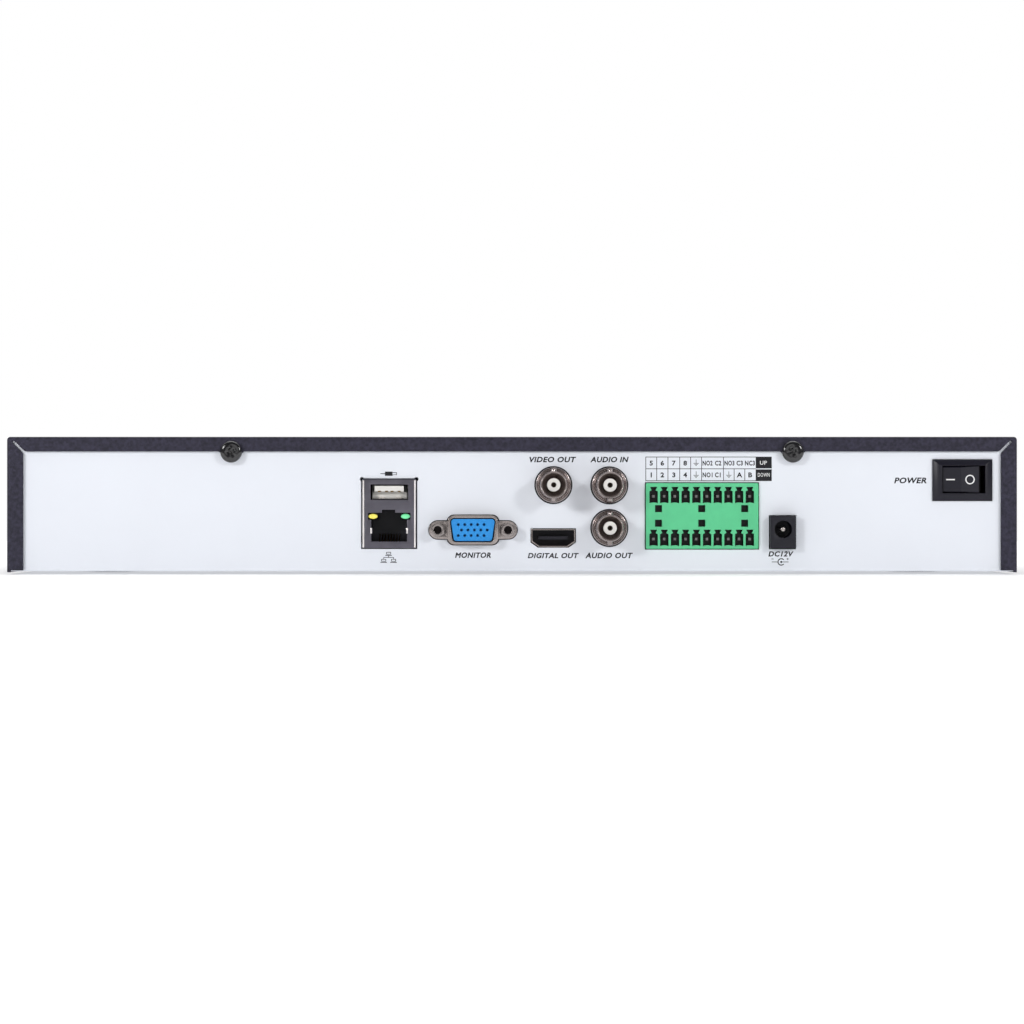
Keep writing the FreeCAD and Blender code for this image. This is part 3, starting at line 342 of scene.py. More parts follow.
def clear_moulding(name, colour, transmission, glow=0.0):
    """Tinted clear plastic, which may glow as a lamp does."""
    finish = Finish(name, 0.18)
    drifting(finish, colour, 0.10, 1.2)
    finish.shader.inputs["Transmission Weight"].default_value = transmission
    finish.shader.inputs["IOR"].default_value = 1.49
    finish.relief(finish.noise(0.5), 0.006, 0.4)
    if glow:
        finish.shader.inputs["Emission Color"].default_value = (*colour, 1.0)
        finish.shader.inputs["Emission Strength"].default_value = glow
    return finish.material


# %% [markdown]
# ## Circuit board, discs and cast metal
# Solder mask is a thin green varnish over copper: light and dark bands show where tracks run under
# it. Bricks of unequal length make a fair stand-in for such runs, and a glossy coat lies over all.
# The drive's tub is cast and then left bare, so it is grainy and dull, while its discs are mirrors.

# %% Circuit board, discs and cast metal
def solder_mask():
    finish = Finish("solder_mask", 0.35)
    tracks = finish.tree.nodes.new("ShaderNodeTexBrick")
    tracks.inputs["Scale"].default_value = 90.0
    tracks.inputs["Mortar Size"].default_value = 0.035
    tracks.inputs["Brick Width"].default_value = 1.7
    tracks.inputs["Row Height"].default_value = 0.16
    tracks.offset_frequency = 3
    finish.link(finish.coordinates, tracks.inputs["Vector"])
    tracks.inputs["Color1"].default_value = (0.012, 0.098, 0.040, 1.0)
    tracks.inputs["Color2"].default_value = (0.016, 0.125, 0.052, 1.0)
    tracks.inputs["Mortar"].default_value = (0.008, 0.060, 0.026, 1.0)
    finish.link(tracks.outputs["Color"], finish.shader.inputs["Base Color"])
    finish.relief(tracks.outputs["Fac"], 0.02, 0.7)
    finish.relief(finish.noise(1.0), 0.01, 0.4)
    finish.roughness(finish.noise(3.0), 0.28, 0.42)
    finish.coat(0.5, 0.15)
    return finish.material


def cast_metal(name, colour, grain_mm=0.6):
    """Bare or coated metal as it comes from the mould."""
    finish = Finish(name, 0.45, 1.0)
    drifting(finish, colour, 0.10, 9.0)
    grain = finish.noise(grain_mm, 4.0)
    finish.roughness(grain, 0.38, 0.56)
    finish.relief(grain, 0.02, 0.8)
    return finish.material


def disc_plating():
    """The mirror finish of a hard drive's discs."""
    finish = Finish("disc_plating", 0.05, 1.0)
    drifting(finish, (0.78, 0.79, 0.82), 0.03, 20.0)
    finish.roughness(finish.noise(8.0), 0.03, 0.07)
    finish.relief(finish.noise(0.8), 0.0006, 0.3)
    return finish.material


def ribbon_jacket():
    """Grey ribbon whose ridges follow the wires inside, with painted shade in the furrows between them."""
    finish = Finish("ribbon_jacket", 0.5)
    cores = finish.tree.nodes.new("ShaderNodeTexWave")
    cores.inputs["Scale"].default_value = 247.0
    cores.inputs["Distortion"].default_value = 0.0
    finish.link(finish.coordinates, cores.inputs["Vector"])
    # Painted shade: the colour follows the same waves as the relief, lighter on each wire and darker between.
    finish.colour(cores.outputs["Fac"], [(0.2, (0.20, 0.20, 0.21)), (0.8, (0.42, 0.42, 0.43))])
    finish.relief(cores.outputs["Fac"], 0.25, 1.0)
    finish.roughness(finish.noise(1.0), 0.42, 0.56)
    return finish.material


# %% [markdown]
# ## One finish for each slot
# The record gives every node a material slot. Making one finish per slot and dealing them out by
# that list keeps pieces of the same stock alike, and no node is forgotten.

# %% One finish for each slot
nickel_brown = (0.46, 0.42, 0.40)
finishes = {
    "cover_paint": cover_powder_coat(),
    "panel_paint": panel_smooth_coat(),
    "black_steel": black_oxide(),
    "zinc_steel": plated("zinc_plate", (0.62, 0.63, 0.62), 0.24, 0.42, grain_mm=0.8),
    "nickel": plated("nickel_plate", nickel_brown, 0.20, 0.38, (1.0, 1.0, 8.0), 1.2),
    "gold": plated("gold_flash", (0.90, 0.62, 0.24), 0.16, 0.30),
    "tin": plated("tinned_pin", (0.66, 0.66, 0.64), 0.26, 0.40),
    "rubber": moulded("foot_rubber", (0.020, 0.020, 0.021), 0.78, 0.5, 0.03),
    "black_plastic": moulded("black_moulding", (0.007, 0.0065, 0.013), 0.46),
    "switch_plastic": moulded("switch_moulding", (0.007, 0.0065, 0.014), 0.34, 0.3, 0.004),
    "white_plastic": moulded("white_moulding", (0.80, 0.78, 0.74), 0.38, 0.5, 0.006, 0.03),
    "blue_plastic": moulded("monitor_blue_moulding", (0.009, 0.275, 0.740), 0.36, 0.5, 0.006, 0.05),
    "green_plastic": moulded("terminal_green_moulding", (0.100, 0.580, 0.270), 0.36, 0.5, 0.006, 0.05),
    "lamp_yellow": clear_moulding("lamp_yellow", (0.88, 0.80, 0.16), 0.25, 0.25),
    "lamp_green": clear_moulding("lamp_green", (0.22, 0.80, 0.42), 0.25, 0.25),
    "board_green": solder_mask(),
    "chip_black": moulded("chip_epoxy", (0.018, 0.018, 0.019), 0.5, 0.15, 0.008),
    "relay_plastic": moulded("relay_shell", (0.012, 0.060, 0.300), 0.34, 0.5, 0.006),
    "can_sleeve": moulded("capacitor_sleeve", (0.014, 0.016, 0.050), 0.24, 0.8, 0.003),
    "cast_aluminium": cast_metal("cast_aluminium", (0.52, 0.53, 0.54)),
    "fin_aluminium": cast_metal("fin_aluminium", (0.10, 0.10, 0.11), 0.4),
    "disc_mirror": disc_plating(),
    "lead_jacket": moulded("lead_jacket", (0.022, 0.022, 0.023), 0.45, 0.6, 0.01),
    "red_jacket": moulded("red_jacket", (0.42, 0.016, 0.014), 0.42, 0.6, 0.01),
    "ribbon_grey": ribbon_jacket(),
    "front_plastic": moulded("front_moulding", (0.026, 0.025, 0.032), 0.40, 0.45, 0.018),
    "lens_plastic": moulded("lens_moulding", (0.010, 0.010, 0.013), 0.10, 1.5, 0.002),
    "guide_plastic": clear_moulding("guide_moulding", (0.80, 0.86, 0.84), 0.5),
}
dull_specular = 0.34
for slot in ("switch_plastic", "black_plastic"):
    dull_shader = finishes[slot].node_tree.nodes["Principled BSDF"]
    dull_shader.inputs["Specular IOR Level"].default_value = dull_specular
for entry in frame["record"]["subparts"]:
    slots = nodes[entry["node"]].material_slots
    for each in slots:
        each.link = "DATA"
        each.material = finishes[entry["material_slot"]]

# %% [markdown]
# ## Studio
# A plain pale floor, and soft light from boxes. Two boxes stand low to the left and right, so every
# socket that stands proud throws a soft shadow to both sides. A weak one over the camera reaches
# into the sockets, one hangs overhead, and one stands behind. Metal shows what is around it, so the
# surroundings are pale behind the recorder and dim behind the camera: that dim half is what gives
# plated shells their dark, brownish middle. The floor is a sheet lit a little from beneath, as on a
# light table, so shadows stay pale.

# %% Studio
def softbox(name, azimuth, elevation, distance, size, power, target):
    """A square lamp that faces a target from a direction given in degrees."""
    data = bpy.data.lights.new(name, "AREA")
    data.shape = "SQUARE"
    data.size = size
    data.energy = power
    lamp = bpy.data.objects.new(name, data)
    bpy.context.scene.collection.objects.link(lamp)
    turn, lift = math.radians(azimuth), math.radians(elevation)
    away = Vector((math.sin(turn) * math.cos(lift), -math.cos(turn) * math.cos(lift), math.sin(lift)))
    lamp.location = target + away * distance
    lamp.rotation_euler = (-away).to_track_quat("-Z", "Y").to_euler()
    return lamp


panel_middle = at(0.0, 24.0)
centre = Vector((0.0, 0.0, 0.0))
# Name, azimuth, elevation, distance, size, power, target
softboxes = (("softbox_left", -37, 17, 1.2, 0.20, 4.1, panel_middle),
             ("softbox_right", 37, 17, 1.2, 0.20, 3.5, panel_middle),
             ("softbox_camera", 0, 12, 1.3, 0.45, 0.6, panel_middle),
             ("softbox_overhead", 0, 88, 1.5, 1.6, 5.0, centre),
             ("softbox_behind", 180, 30, 1.6, 1.2, 6.0, centre))
for softbox_facts in softboxes:
    softbox(*softbox_facts)

world = bpy.data.worlds.new("studio")
bpy.context.scene.world = world
world.use_nodes = True
world_tree = world.node_tree
surround = world_tree.nodes["Background"]
direction = world_tree.nodes.new("ShaderNodeTexCoord").outputs["Generated"]
split = world_tree.nodes.new("ShaderNodeSeparateXYZ")
fade = world_tree.nodes.new("ShaderNodeValToRGB")
backdrop = world_tree.nodes.new("ShaderNodeMix")
backdrop.data_type = "RGBA"
seen = world_tree.nodes.new("ShaderNodeLightPath")
shift_up = world_tree.nodes.new("ShaderNodeMath")
shift_up.operation = "MULTIPLY_ADD"
shift_up.inputs[1].default_value = 0.5
shift_up.inputs[2].default_value = 0.5
fade.color_ramp.elements[0].position = 0.25
fade.color_ramp.elements[0].color = (0.11, 0.11, 0.115, 1.0)
fade.color_ramp.elements[1].position = 0.65
fade.color_ramp.elements[1].color = (0.95, 0.95, 0.97, 1.0)
world_tree.links.new(direction, split.inputs["Vector"])
world_tree.links.new(split.outputs["Y"], shift_up.inputs[0])
world_tree.links.new(shift_up.outputs[0], fade.inputs["Fac"])
world_tree.links.new(seen.outputs["Is Camera Ray"], backdrop.inputs["Factor"])
world_tree.links.new(fade.outputs["Color"], backdrop.inputs["A"])
backdrop.inputs["B"].default_value = (1.0, 1.0, 1.0, 1.0)
world_tree.links.new(backdrop.outputs["Result"], surround.inputs["Color"])
bpy.context.scene.view_settings.view_transform = "Standard"

clear_selection()
bpy.ops.mesh.primitive_plane_add(size=2.6, location=(0.0, 0.0, -0.05 * mm))
floor = bpy.context.object
floor.name = "floor"
floor_finish = Finish("floor_sheet", 0.85)
drifting(floor_finish, (0.90, 0.90, 0.90), 0.006, 60.0)
floor_finish.shader.inputs["Emission Color"].default_value = (1.0, 1.0, 1.0, 1.0)
floor_finish.shader.inputs["Emission Strength"].default_value = 0.25
floor.data.materials.append(floor_finish.material)
print("studio:", len(softboxes), "softboxes")

# %% [markdown]
# ## Printed legends
# The panel is screen printed in black: a slanted word by each socket, and a ruled table over the
# terminal block that numbers its ways. Ink is a layer a few hundredths of a millimetre thick. Each
# word is a text object turned into a mesh and then fitted to the box it fills on the panel, so the
# lettering has real edges and needs no picture. Socket marks are plain shapes of our own.

# %% Printed legends
ink_black = moulded("panel_ink", (0.006, 0.006, 0.009), 0.8, 0.4, 0.004, 0.2)
ink_white = moulded("marking_white", (0.82, 0.82, 0.82), 0.5, 0.4, 0.004, 0.04)
ink_half = 0.012
stroke_growth = 0.034
ink_out = 0.02


def words(text, xs, zs, slant=0.0, out=ink_out, growth=stroke_growth):
    """Bold lettering that fills a box on the panel, or keeps its own width about one x."""
    clear_selection()
    bpy.ops.object.text_add()
    piece = bpy.context.object
    piece.data.body = text
    piece.data.shear = slant
    piece.data.space_character = 1.1
    piece.data.bevel_depth = growth
    piece.data.bevel_resolution = 0
    piece.data.resolution_u = 3
    bpy.ops.object.convert(target="MESH")
    piece = bpy.context.object
    low = [min(corner[axis] for corner in piece.bound_box) for axis in range(3)]
    high = [max(corner[axis] for corner in piece.bound_box) for axis in range(3)]
    tall = (zs[1] - zs[0]) * mm / (high[1] - low[1])
    wide = tall * 1.1
    if isinstance(xs, tuple):
        wide = (xs[1] - xs[0]) * mm / (high[0] - low[0])
        left = xs[0]
    else:
        left = xs - (high[0] - low[0]) * wide / mm / 2
    piece.scale = (wide, tall, 2 * ink_half * mm / (high[2] - low[2]))
    piece.rotation_euler = (math.radians(90), 0.0, 0.0)
    start = at(left, zs[0], out)
    piece.location = (start.x - low[0] * wide, start.y, start.z - low[1] * tall)
    return settle(piece, "words")


def ink_bar(xs, zs, out=ink_out):
    """A printed line or block between two pairs of limits."""
    clear_selection()
    middle = at(sum(xs) / 2, sum(zs) / 2, out)
    bpy.ops.mesh.primitive_cube_add(size=1.0, location=middle)
    piece = bpy.context.object
    piece.scale = (abs(xs[1] - xs[0]) * mm, 2 * ink_half * mm, abs(zs[1] - zs[0]) * mm)
    return settle(piece, "ink_bar")


def ink_arc(x, z, radius, width, first=0.0, last=360.0, out=ink_out):
    """A printed ring, or part of one, spun from a short radial edge."""
    clear_selection()
    bpy.ops.mesh.primitive_plane_add(size=1.0)
    piece = bpy.context.object
    piece.scale = (width * mm, 2 * ink_half * mm, 1.0)
    piece.location = (radius * mm, 0.0, 0.0)
    bpy.ops.object.transform_apply(location=True, rotation=True, scale=True)
    bpy.ops.object.mode_set(mode="EDIT")
    bpy.ops.mesh.select_all(action="SELECT")
    if last - first >= 360.0:
        bpy.ops.mesh.delete(type="ONLY_FACE")
        bpy.ops.mesh.select_all(action="SELECT")
    steps = max(8, int(abs(last - first) / 10))
    bpy.ops.mesh.spin(steps=steps, angle=math.radians(last - first), center=(0, 0, 0), axis=(0, 1, 0))
    bpy.ops.object.mode_set(mode="OBJECT")
    piece.rotation_euler = (0.0, -math.radians(first), 0.0)
    piece.location = at(x, z, out)
    return settle(piece, "ink_arc")


def ink_disc(x, z, radius, out=ink_out):
    """A printed round dot."""
    clear_selection()
    bpy.ops.mesh.primitive_cylinder_add(vertices=24, radius=radius * mm, depth=2 * ink_half * mm,
                                        location=at(x, z, out), rotation=(math.radians(90), 0, 0))
    return settle(bpy.context.object, "ink_disc")


def earth_mark(x, z):
    """The earth symbol: a stem over three shortening bars."""
    marks = [ink_bar((x - 0.09, x + 0.09), (z - 0.1, z + 1.3))]
    for width, drop in ((1.9, 0.1), (1.2, 0.5), (0.5, 0.9)):
        marks.append(ink_bar((x - width / 2, x + width / 2), (z - drop - 0.09, z - drop + 0.09)))
    return marks


print("ink helpers ready")

# %% [markdown]
# The words sit above or below their sockets. A plug drawn from the side marks the upper of the two
# stacked sockets, and three little screens on a tree mark the network socket under it.

# %% Words and socket marks
slanted = 0.22
prints = [
    words("VIDEO OUT", (6.2, 22.9), (38.9, 40.9), slanted),
    words("AUDIO IN", (27.9, 41.6), (38.9, 40.9), slanted),
    words("AUDIO OUT", (26.1, 43.1), (4.7, 6.7), slanted),
    words("DIGITAL OUT", (5.6, 23.8), (4.7, 6.6), slanted),
    words("MONITOR", (-20.3, -7.5), (4.8, 6.8), slanted),
    words("POWER", (136.25, 147.8), (31.4, 33.5), slanted),
    words("DC12V", (91.4, 100.4), (5.3, 7.2), slanted),
]

# Upper socket's mark: cable, plug body and plug tip
mark_z = 34.85
prints += [
    ink_bar((-46.9, -45.3), (mark_z - 0.13, mark_z + 0.13)),
    ink_bar((-45.3, -42.6), (mark_z - 0.75, mark_z + 0.75)),
    ink_bar((-42.6, -41.1), (mark_z + 0.27, mark_z + 0.5)),
    ink_bar((-42.6, -41.1), (mark_z - 0.5, mark_z - 0.27)),
    ink_bar((-41.25, -41.05), (mark_z - 0.5, mark_z + 0.5)),
]


def small_screen(x, z, width):
    """An outlined screen on a stand."""
    half = width / 2
    line = 0.2
    return [
        ink_bar((x - half, x + half), (z + 1.25 - line, z + 1.25)),
        ink_bar((x - half, x + half), (z + 0.35, z + 0.35 + line)),
        ink_bar((x - half, x - half + line), (z + 0.35, z + 1.25)),
        ink_bar((x + half - line, x + half), (z + 0.35, z + 1.25)),
        ink_bar((x - half - 0.3, x + half + 0.3), (z - 0.1, z + 0.15)),
    ]


tree_x = -44.0
prints += small_screen(tree_x, 5.7, 1.7)
prints += small_screen(tree_x - 1.75, 3.2, 1.7) + small_screen(tree_x + 1.75, 3.2, 1.7)
prints += [
    ink_bar((tree_x - 0.1, tree_x + 0.1), (5.0, 5.7)),
    ink_bar((tree_x - 1.85, tree_x + 1.85), (4.9, 5.1)),
    ink_bar((tree_x - 1.85, tree_x - 1.65), (4.4, 5.0)),
    ink_bar((tree_x + 1.65, tree_x + 1.85), (4.4, 5.0)),
]

# Plug polarity: minus on the sleeve, plus on the pin
sleeve_x, sleeve_z = 96.0, 3.4
prints += [
    ink_arc(sleeve_x, sleeve_z, 1.15, 0.34, 40, 320),
    ink_disc(sleeve_x, sleeve_z, 0.36),
    ink_bar((sleeve_x, 98.6), (sleeve_z - 0.11, sleeve_z + 0.11)),
    ink_bar((92.6, 94.85), (sleeve_z - 0.11, sleeve_z + 0.11)),
    ink_bar((92.5, 93.3), (sleeve_z + 0.95, sleeve_z + 1.15)),
    ink_bar((97.9, 98.7), (sleeve_z + 0.95, sleeve_z + 1.15)),
    ink_bar((98.2, 98.4), (sleeve_z + 0.65, sleeve_z + 1.45)),
]
print("words and marks:", len(prints))

# %% [markdown]
# The terminal table has two ruled rows, one for each row of ways, and ends in a black block with the
# row names left white. A few columns hold two or three ways, as the relays need.

# %% Terminal table
table_low, table_middle, table_high = 32.35, 36.6, 40.8
table_left, table_right, block_right = 47.7, 86.9, 92.6
rule = 0.11
shared_lines = (47.7, 51.6, 55.6, 59.8, 63.7, 67.6, 75.4)
lower_lines = (79.2, 83.0)
prints += [ink_bar((table_left - rule, table_right), (z - rule, z + rule))
           for z in (table_low, table_middle, table_high)]
prints += [ink_bar((x - rule, x + rule), (table_low, table_high)) for x in shared_lines]
prints += [ink_bar((x - rule, x + rule), (table_low, table_middle)) for x in lower_lines]
prints += [ink_bar((table_right, block_right), (table_low - rule, 36.4)),
           ink_bar((table_right, block_right), (36.75, table_high + rule))]

upper_z, lower_z = (37.75, 39.5), (33.55, 35.3)
first_columns = (49.65, 53.6, 57.7, 61.75)
for row_z, digits in ((upper_z, "5678"), (lower_z, "1234")):
    prints += [words(digit, x, row_z) for x, digit in zip(first_columns, digits)]
prints += earth_mark(65.65, 38.65) + earth_mark(65.65, 34.4) + earth_mark(77.3, 34.4)
relay_words = (("NO2", (67.95, 71.5)), ("C2", (72.35, 74.6)), ("NO3", (75.75, 79.3)),
               ("C3", (80.05, 82.3)), ("NC3", (83.05, 86.6)))
prints += [words(text, xs, upper_z) for text, xs in relay_words]
prints += [words("NO1", (67.95, 71.5), lower_z), words("C1", (72.35, 74.4), lower_z),
           words("A", 81.1, lower_z), words("B", 84.95, lower_z)]
panel_print = finish_piece(joined(prints, "panel_print"), "case", "black_plastic", ink_black)

row_names = [words("UP", (88.4, 90.9), (38.05, 39.45), 0.0, 0.05, 0.018),
             words("DOWN", (87.65, 91.9), (33.75, 35.15), 0.0, 0.05, 0.008)]
finish_piece(joined(row_names, "row_name_print"), "case", "white_plastic", ink_white)
print("panel print:", len(panel_print.data.polygons), "faces")

# %% [markdown]
# ## Rocker marks
# The paddle carries a bar for on and a ring for off, sunk and filled with white. They are drawn flat
# on the panel first, then turned by the paddle's tilt about its trunnions, so that each lies on its
# own half of the shallow V.

# %% Rocker marks
pivot = Vector(((153.25 + 168.5) / 2 * mm, panel_y + 2.8 * mm, 0.0))
rest_tilt = math.radians(-12.0)
half_slope = math.atan2(0.8, 6.35)


def onto_paddle(mark, side):
    """Leans a flat mark onto one half of the paddle and tips it with the rocker."""
    pick(mark)
    crest = Matrix.Translation(pivot + Vector((0.0, -4.5 * mm, 0.0)))
    lean = crest @ Matrix.Rotation(-side * half_slope, 4, "Z")
    tip = Matrix.Translation(pivot) @ Matrix.Rotation(rest_tilt, 4, "Z") @ Matrix.Translation(-pivot)
    mark.matrix_world = tip @ lean @ Matrix.Translation(Vector((-pivot.x, -panel_y, 0.0)))
    return settle(mark, "rocker_mark")


crest_x = pivot.x / mm
mark_height = 32.75
bar = onto_paddle(ink_bar((crest_x - 5.3, crest_x - 2.2), (mark_height - 0.22, mark_height + 0.22), 0.01), -1)
ring = onto_paddle(ink_arc(crest_x + 3.2, mark_height, 1.5, 0.4, out=0.01), 1)
rocker_marks = finish_piece(joined([bar, ring], "rocker_marks"), "rocker", "white_plastic", ink_white)
print("rocker marks reach", [round(value / mm, 2) for value in rocker_marks.bound_box[0]])

# %% [markdown]
# ## Rounded edges on pressed and moulded parts
# No pressed or moulded edge is knife sharp, and it is the rounded edge that catches a line of
# light. A hole goes darker the deeper it is, from shade, and a helper below paints that shade into a
# finish's colour by the distance behind its face. The engineering nodes have sharp edges. Rather than
# build such a part twice, a copy of the node is merged, freed of its needless triangle edges, and
# given a small bevel, and the copy then stands for the node.

# %% Rounded copies
def rounded_copy(node, width_mm, material, segments=3, body="case", slot="nickel"):
    """A merged copy of a node with rounded edges, which replaces the node."""
    source = nodes[node]
    pick(source)
    bpy.ops.object.duplicate()
    piece = bpy.context.object
    piece.parent = None
    piece.matrix_world = source.matrix_world.copy()
    for key in list(piece.keys()):
        if key.startswith("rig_"):
            del piece[key]
    bpy.ops.object.mode_set(mode="EDIT")
    bpy.ops.mesh.select_all(action="SELECT")
    bpy.ops.mesh.remove_doubles(threshold=2e-6)
    bpy.ops.mesh.dissolve_limited(angle_limit=math.radians(1.0))
    bpy.ops.mesh.normals_make_consistent(inside=False)
    bpy.ops.object.mode_set(mode="OBJECT")
    modifier = piece.modifiers.new("edge_round", "BEVEL")
    modifier.width = width_mm * mm
    modifier.segments = segments
    modifier.limit_method = "ANGLE"
    modifier.angle_limit = math.radians(32)
    modifier.use_clamp_overlap = True
    bpy.ops.object.modifier_apply(modifier=modifier.name)
    bpy.ops.object.shade_smooth_by_angle(angle=math.radians(35))
    piece.name = node + "_rounded"
    piece.data.name = piece.name
    finish_piece(piece, body, slot, material, node)
    print(node, "rounded:", len(piece.data.polygons), "faces")
    return piece


def paint_depth_shade(material, near_y, far_y, dark):
    """Paints shade into a finish's colour by its depth behind a face, as shade falls in a narrow hole or gap.
    """
    tree = material.node_tree
    shader = tree.nodes["Principled BSDF"]
    lit_colour = shader.inputs["Base Color"].links[0].from_socket
    texture = tree.nodes.new("ShaderNodeTexCoord")
    split = tree.nodes.new("ShaderNodeSeparateXYZ")
    tree.links.new(texture.outputs["Object"], split.inputs["Vector"])
    depth = tree.nodes.new("ShaderNodeMapRange")
    depth.inputs["From Min"].default_value = near_y
    depth.inputs["From Max"].default_value = far_y
    tree.links.new(split.outputs["Y"], depth.inputs["Value"])
    mix = tree.nodes.new("ShaderNodeMix")
    mix.data_type = "RGBA"
    tree.links.new(depth.outputs["Result"], mix.inputs["Factor"])
    tree.links.new(lit_colour, mix.inputs["A"])
    mix.inputs["B"].default_value = (*dark, 1.0)
    tree.links.new(mix.outputs["Result"], shader.inputs["Base Color"])
    return material


satin_nickel = plated("satin_nickel", (0.132, 0.126, 0.150), 0.26, 0.40, (1.0, 1.0, 6.0), 1.0, 0.002)
post_nickel = plated("post_nickel", (0.30, 0.27, 0.26), 0.16, 0.28, (1.0, 1.0, 5.0), 0.8, 0.002)
post_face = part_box("monitor_socket_posts")[0].y
# Painted shade: the posts' threaded holes go near black from 0.5 to 1.6 mm behind their face.
paint_depth_shade(post_nickel, post_face + 0.5 * mm, post_face + 1.6 * mm, (0.012, 0.010, 0.010))
bright_nickel = plated("bright_nickel", (0.36, 0.32, 0.305), 0.14, 0.24, (1.0, 1.0, 5.0), 0.8, 0.002)
rounded_copy("network_shield", 0.14, satin_nickel)
rounded_copy("monitor_socket_shell", 0.42, bright_nickel, 4)
rounded_copy("digital_socket_shell", 0.12, bright_nickel, 2)
rounded_copy("monitor_socket_posts", 0.22, post_nickel)
rounded_copy("switch_housing", 0.16, finishes["switch_plastic"], 2, "case", "switch_plastic")
rounded_copy("dc_socket_body", 0.18, finishes["black_plastic"], 2, "case", "black_plastic")

# %% [markdown]
# ## Bayonet jacks
# A bayonet jack is turned from brass bar and plated: a grooved collar seats on the panel, a plain
# barrel stands out of it with two lugs for the plug's collar, and the bore steps down towards the
# white insulator. A lathe cuts rings, so the piece grows ring by ring here as well: a circle is
# extruded again and again, and each time scaled to the next radius and moved to the next height.

# %% Turned pieces
def turned(profile, segments=56, capped=False):
    """A round piece from (radius, height) pairs in millimetres, its axis along Z."""
    clear_selection()
    radius, height = profile[0]
    bpy.ops.mesh.primitive_circle_add(vertices=segments, radius=radius * mm,
                                      fill_type="NGON" if capped else "NOTHING")
    piece = bpy.context.object
    bpy.ops.object.mode_set(mode="EDIT")
    bpy.ops.mesh.select_all(action="SELECT")
    bpy.ops.transform.translate(value=(0.0, 0.0, height * mm))
    for next_radius, next_height in profile[1:]:
        ratio = next_radius / radius
        bpy.ops.mesh.extrude_edges_move()
        bpy.ops.transform.resize(value=(ratio, ratio, 1.0), center_override=(0.0, 0.0, height * mm))
        bpy.ops.transform.translate(value=(0.0, 0.0, (next_height - height) * mm))
        radius, height = next_radius, next_height
    if capped:
        bpy.ops.mesh.edge_face_add()
    bpy.ops.object.mode_set(mode="OBJECT")
    return piece


def facing_back(piece, x, z, out=0.0):
    """Turns a piece's axis from straight up to straight out of the panel, and places it."""
    piece.rotation_euler = (math.radians(90), 0.0, 0.0)
    piece.location = at(x, z, out)
    return settle(piece, piece.name)


def copies(piece, places):
    """Moves a finished piece to the first place and gives every other place its own copy."""
    made = [piece]
    for shift in places:
        pick(piece)
        bpy.ops.object.duplicate()
        twin = bpy.context.object
        twin.data = twin.data.copy()
        bpy.ops.transform.translate(value=shift)
        bpy.ops.object.transform_apply(location=True, rotation=True, scale=True)
        made.append(twin)
    return made


jack_outline = [(6.35, -0.4), (6.35, 2.0), (6.15, 2.35), (5.95, 2.4), (5.85, 2.1), (5.65, 2.1),
                (5.55, 2.4), (5.35, 2.4), (5.25, 1.9), (5.0, 1.9), (4.9, 2.3), (4.55, 2.4),
                (4.55, 4.6), (4.8, 5.0), (4.8, 12.5), (4.68, 12.85), (4.5, 13.0), (4.3, 12.9),
                (4.12, 12.5), (4.1, 11.2), (3.92, 11.0), (3.92, 10.3), (3.7, 10.1), (3.65, 9.4),
                (3.45, 9.3), (3.4, 8.7), (3.15, 8.6), (3.1, 8.0), (2.85, 7.9), (2.8, 7.4), (2.42, 7.3),
                (2.42, -0.4), (6.35, -0.4)]
lug_outline = [(0.95, 4.4), (0.95, 5.6), (0.82, 5.82), (0.55, 5.9), (0.12, 5.9)]
lug_out = 9.6
jack_mids = [(14.76, 30.8), (34.7, 30.7), (34.7, 15.5)]

jack_body = facing_back(turned(jack_outline), *jack_mids[0])
lugs = []
for flip in (0.0, math.pi):
    lug = turned(lug_outline, 20, capped=True)
    lug.rotation_euler = (0.0, flip, 0.0)
    lug.location = at(jack_mids[0][0], jack_mids[0][1], lug_out)
    lugs.append(settle(lug, "lug"))
jack = joined([jack_body] + lugs, "bayonet_jack")
jack_shifts = [at(x, z) - at(*jack_mids[0]) for x, z in jack_mids[1:]]
jacks = bevelled(joined(copies(jack, jack_shifts), "bayonet_jacks"), 0.05 * mm, 1, 40)
jack_plate = plated("turned_nickel", (0.34, 0.295, 0.285), 0.18, 0.30, (1.0, 6.0, 1.0), 0.7, 0.0015)
finish_piece(jacks, "case", "nickel", jack_plate, "coax_jacks")

sleeve_outline = [(0.93, 1.5), (0.93, 9.6), (0.86, 9.85), (0.76, 9.85), (0.70, 9.5), (0.70, 3.0)]
sleeve = facing_back(turned(sleeve_outline, 28, capped=True), *jack_mids[0])
sleeves = joined(copies(sleeve, jack_shifts), "jack_sleeves")
pick(sleeves)
bpy.ops.object.shade_smooth_by_angle(angle=math.radians(35))
# Painted shade: the contact sleeves deep in the bores are plated near black rather than gold, for the shade
# there.
sleeve_in_painted_shade = plated("sleeve_in_painted_shade", (0.075, 0.058, 0.045), 0.30, 0.45)
finish_piece(sleeves, "case", "gold", sleeve_in_painted_shade, "coax_contacts")
print("jacks:", len(jacks.data.polygons), "faces")

# %% [markdown]
# ## Cover screws
# The two screws have domed heads with a cross recess, blackened and oiled. A head nearly fills the
# tab it holds, so it is drawn a little wider than the engineering one. The dome is turned, and
# the recess is cut from it by a Boolean with two tapered wedges: a cube whose lower end is shrunk
# in edit mode, once along each arm.

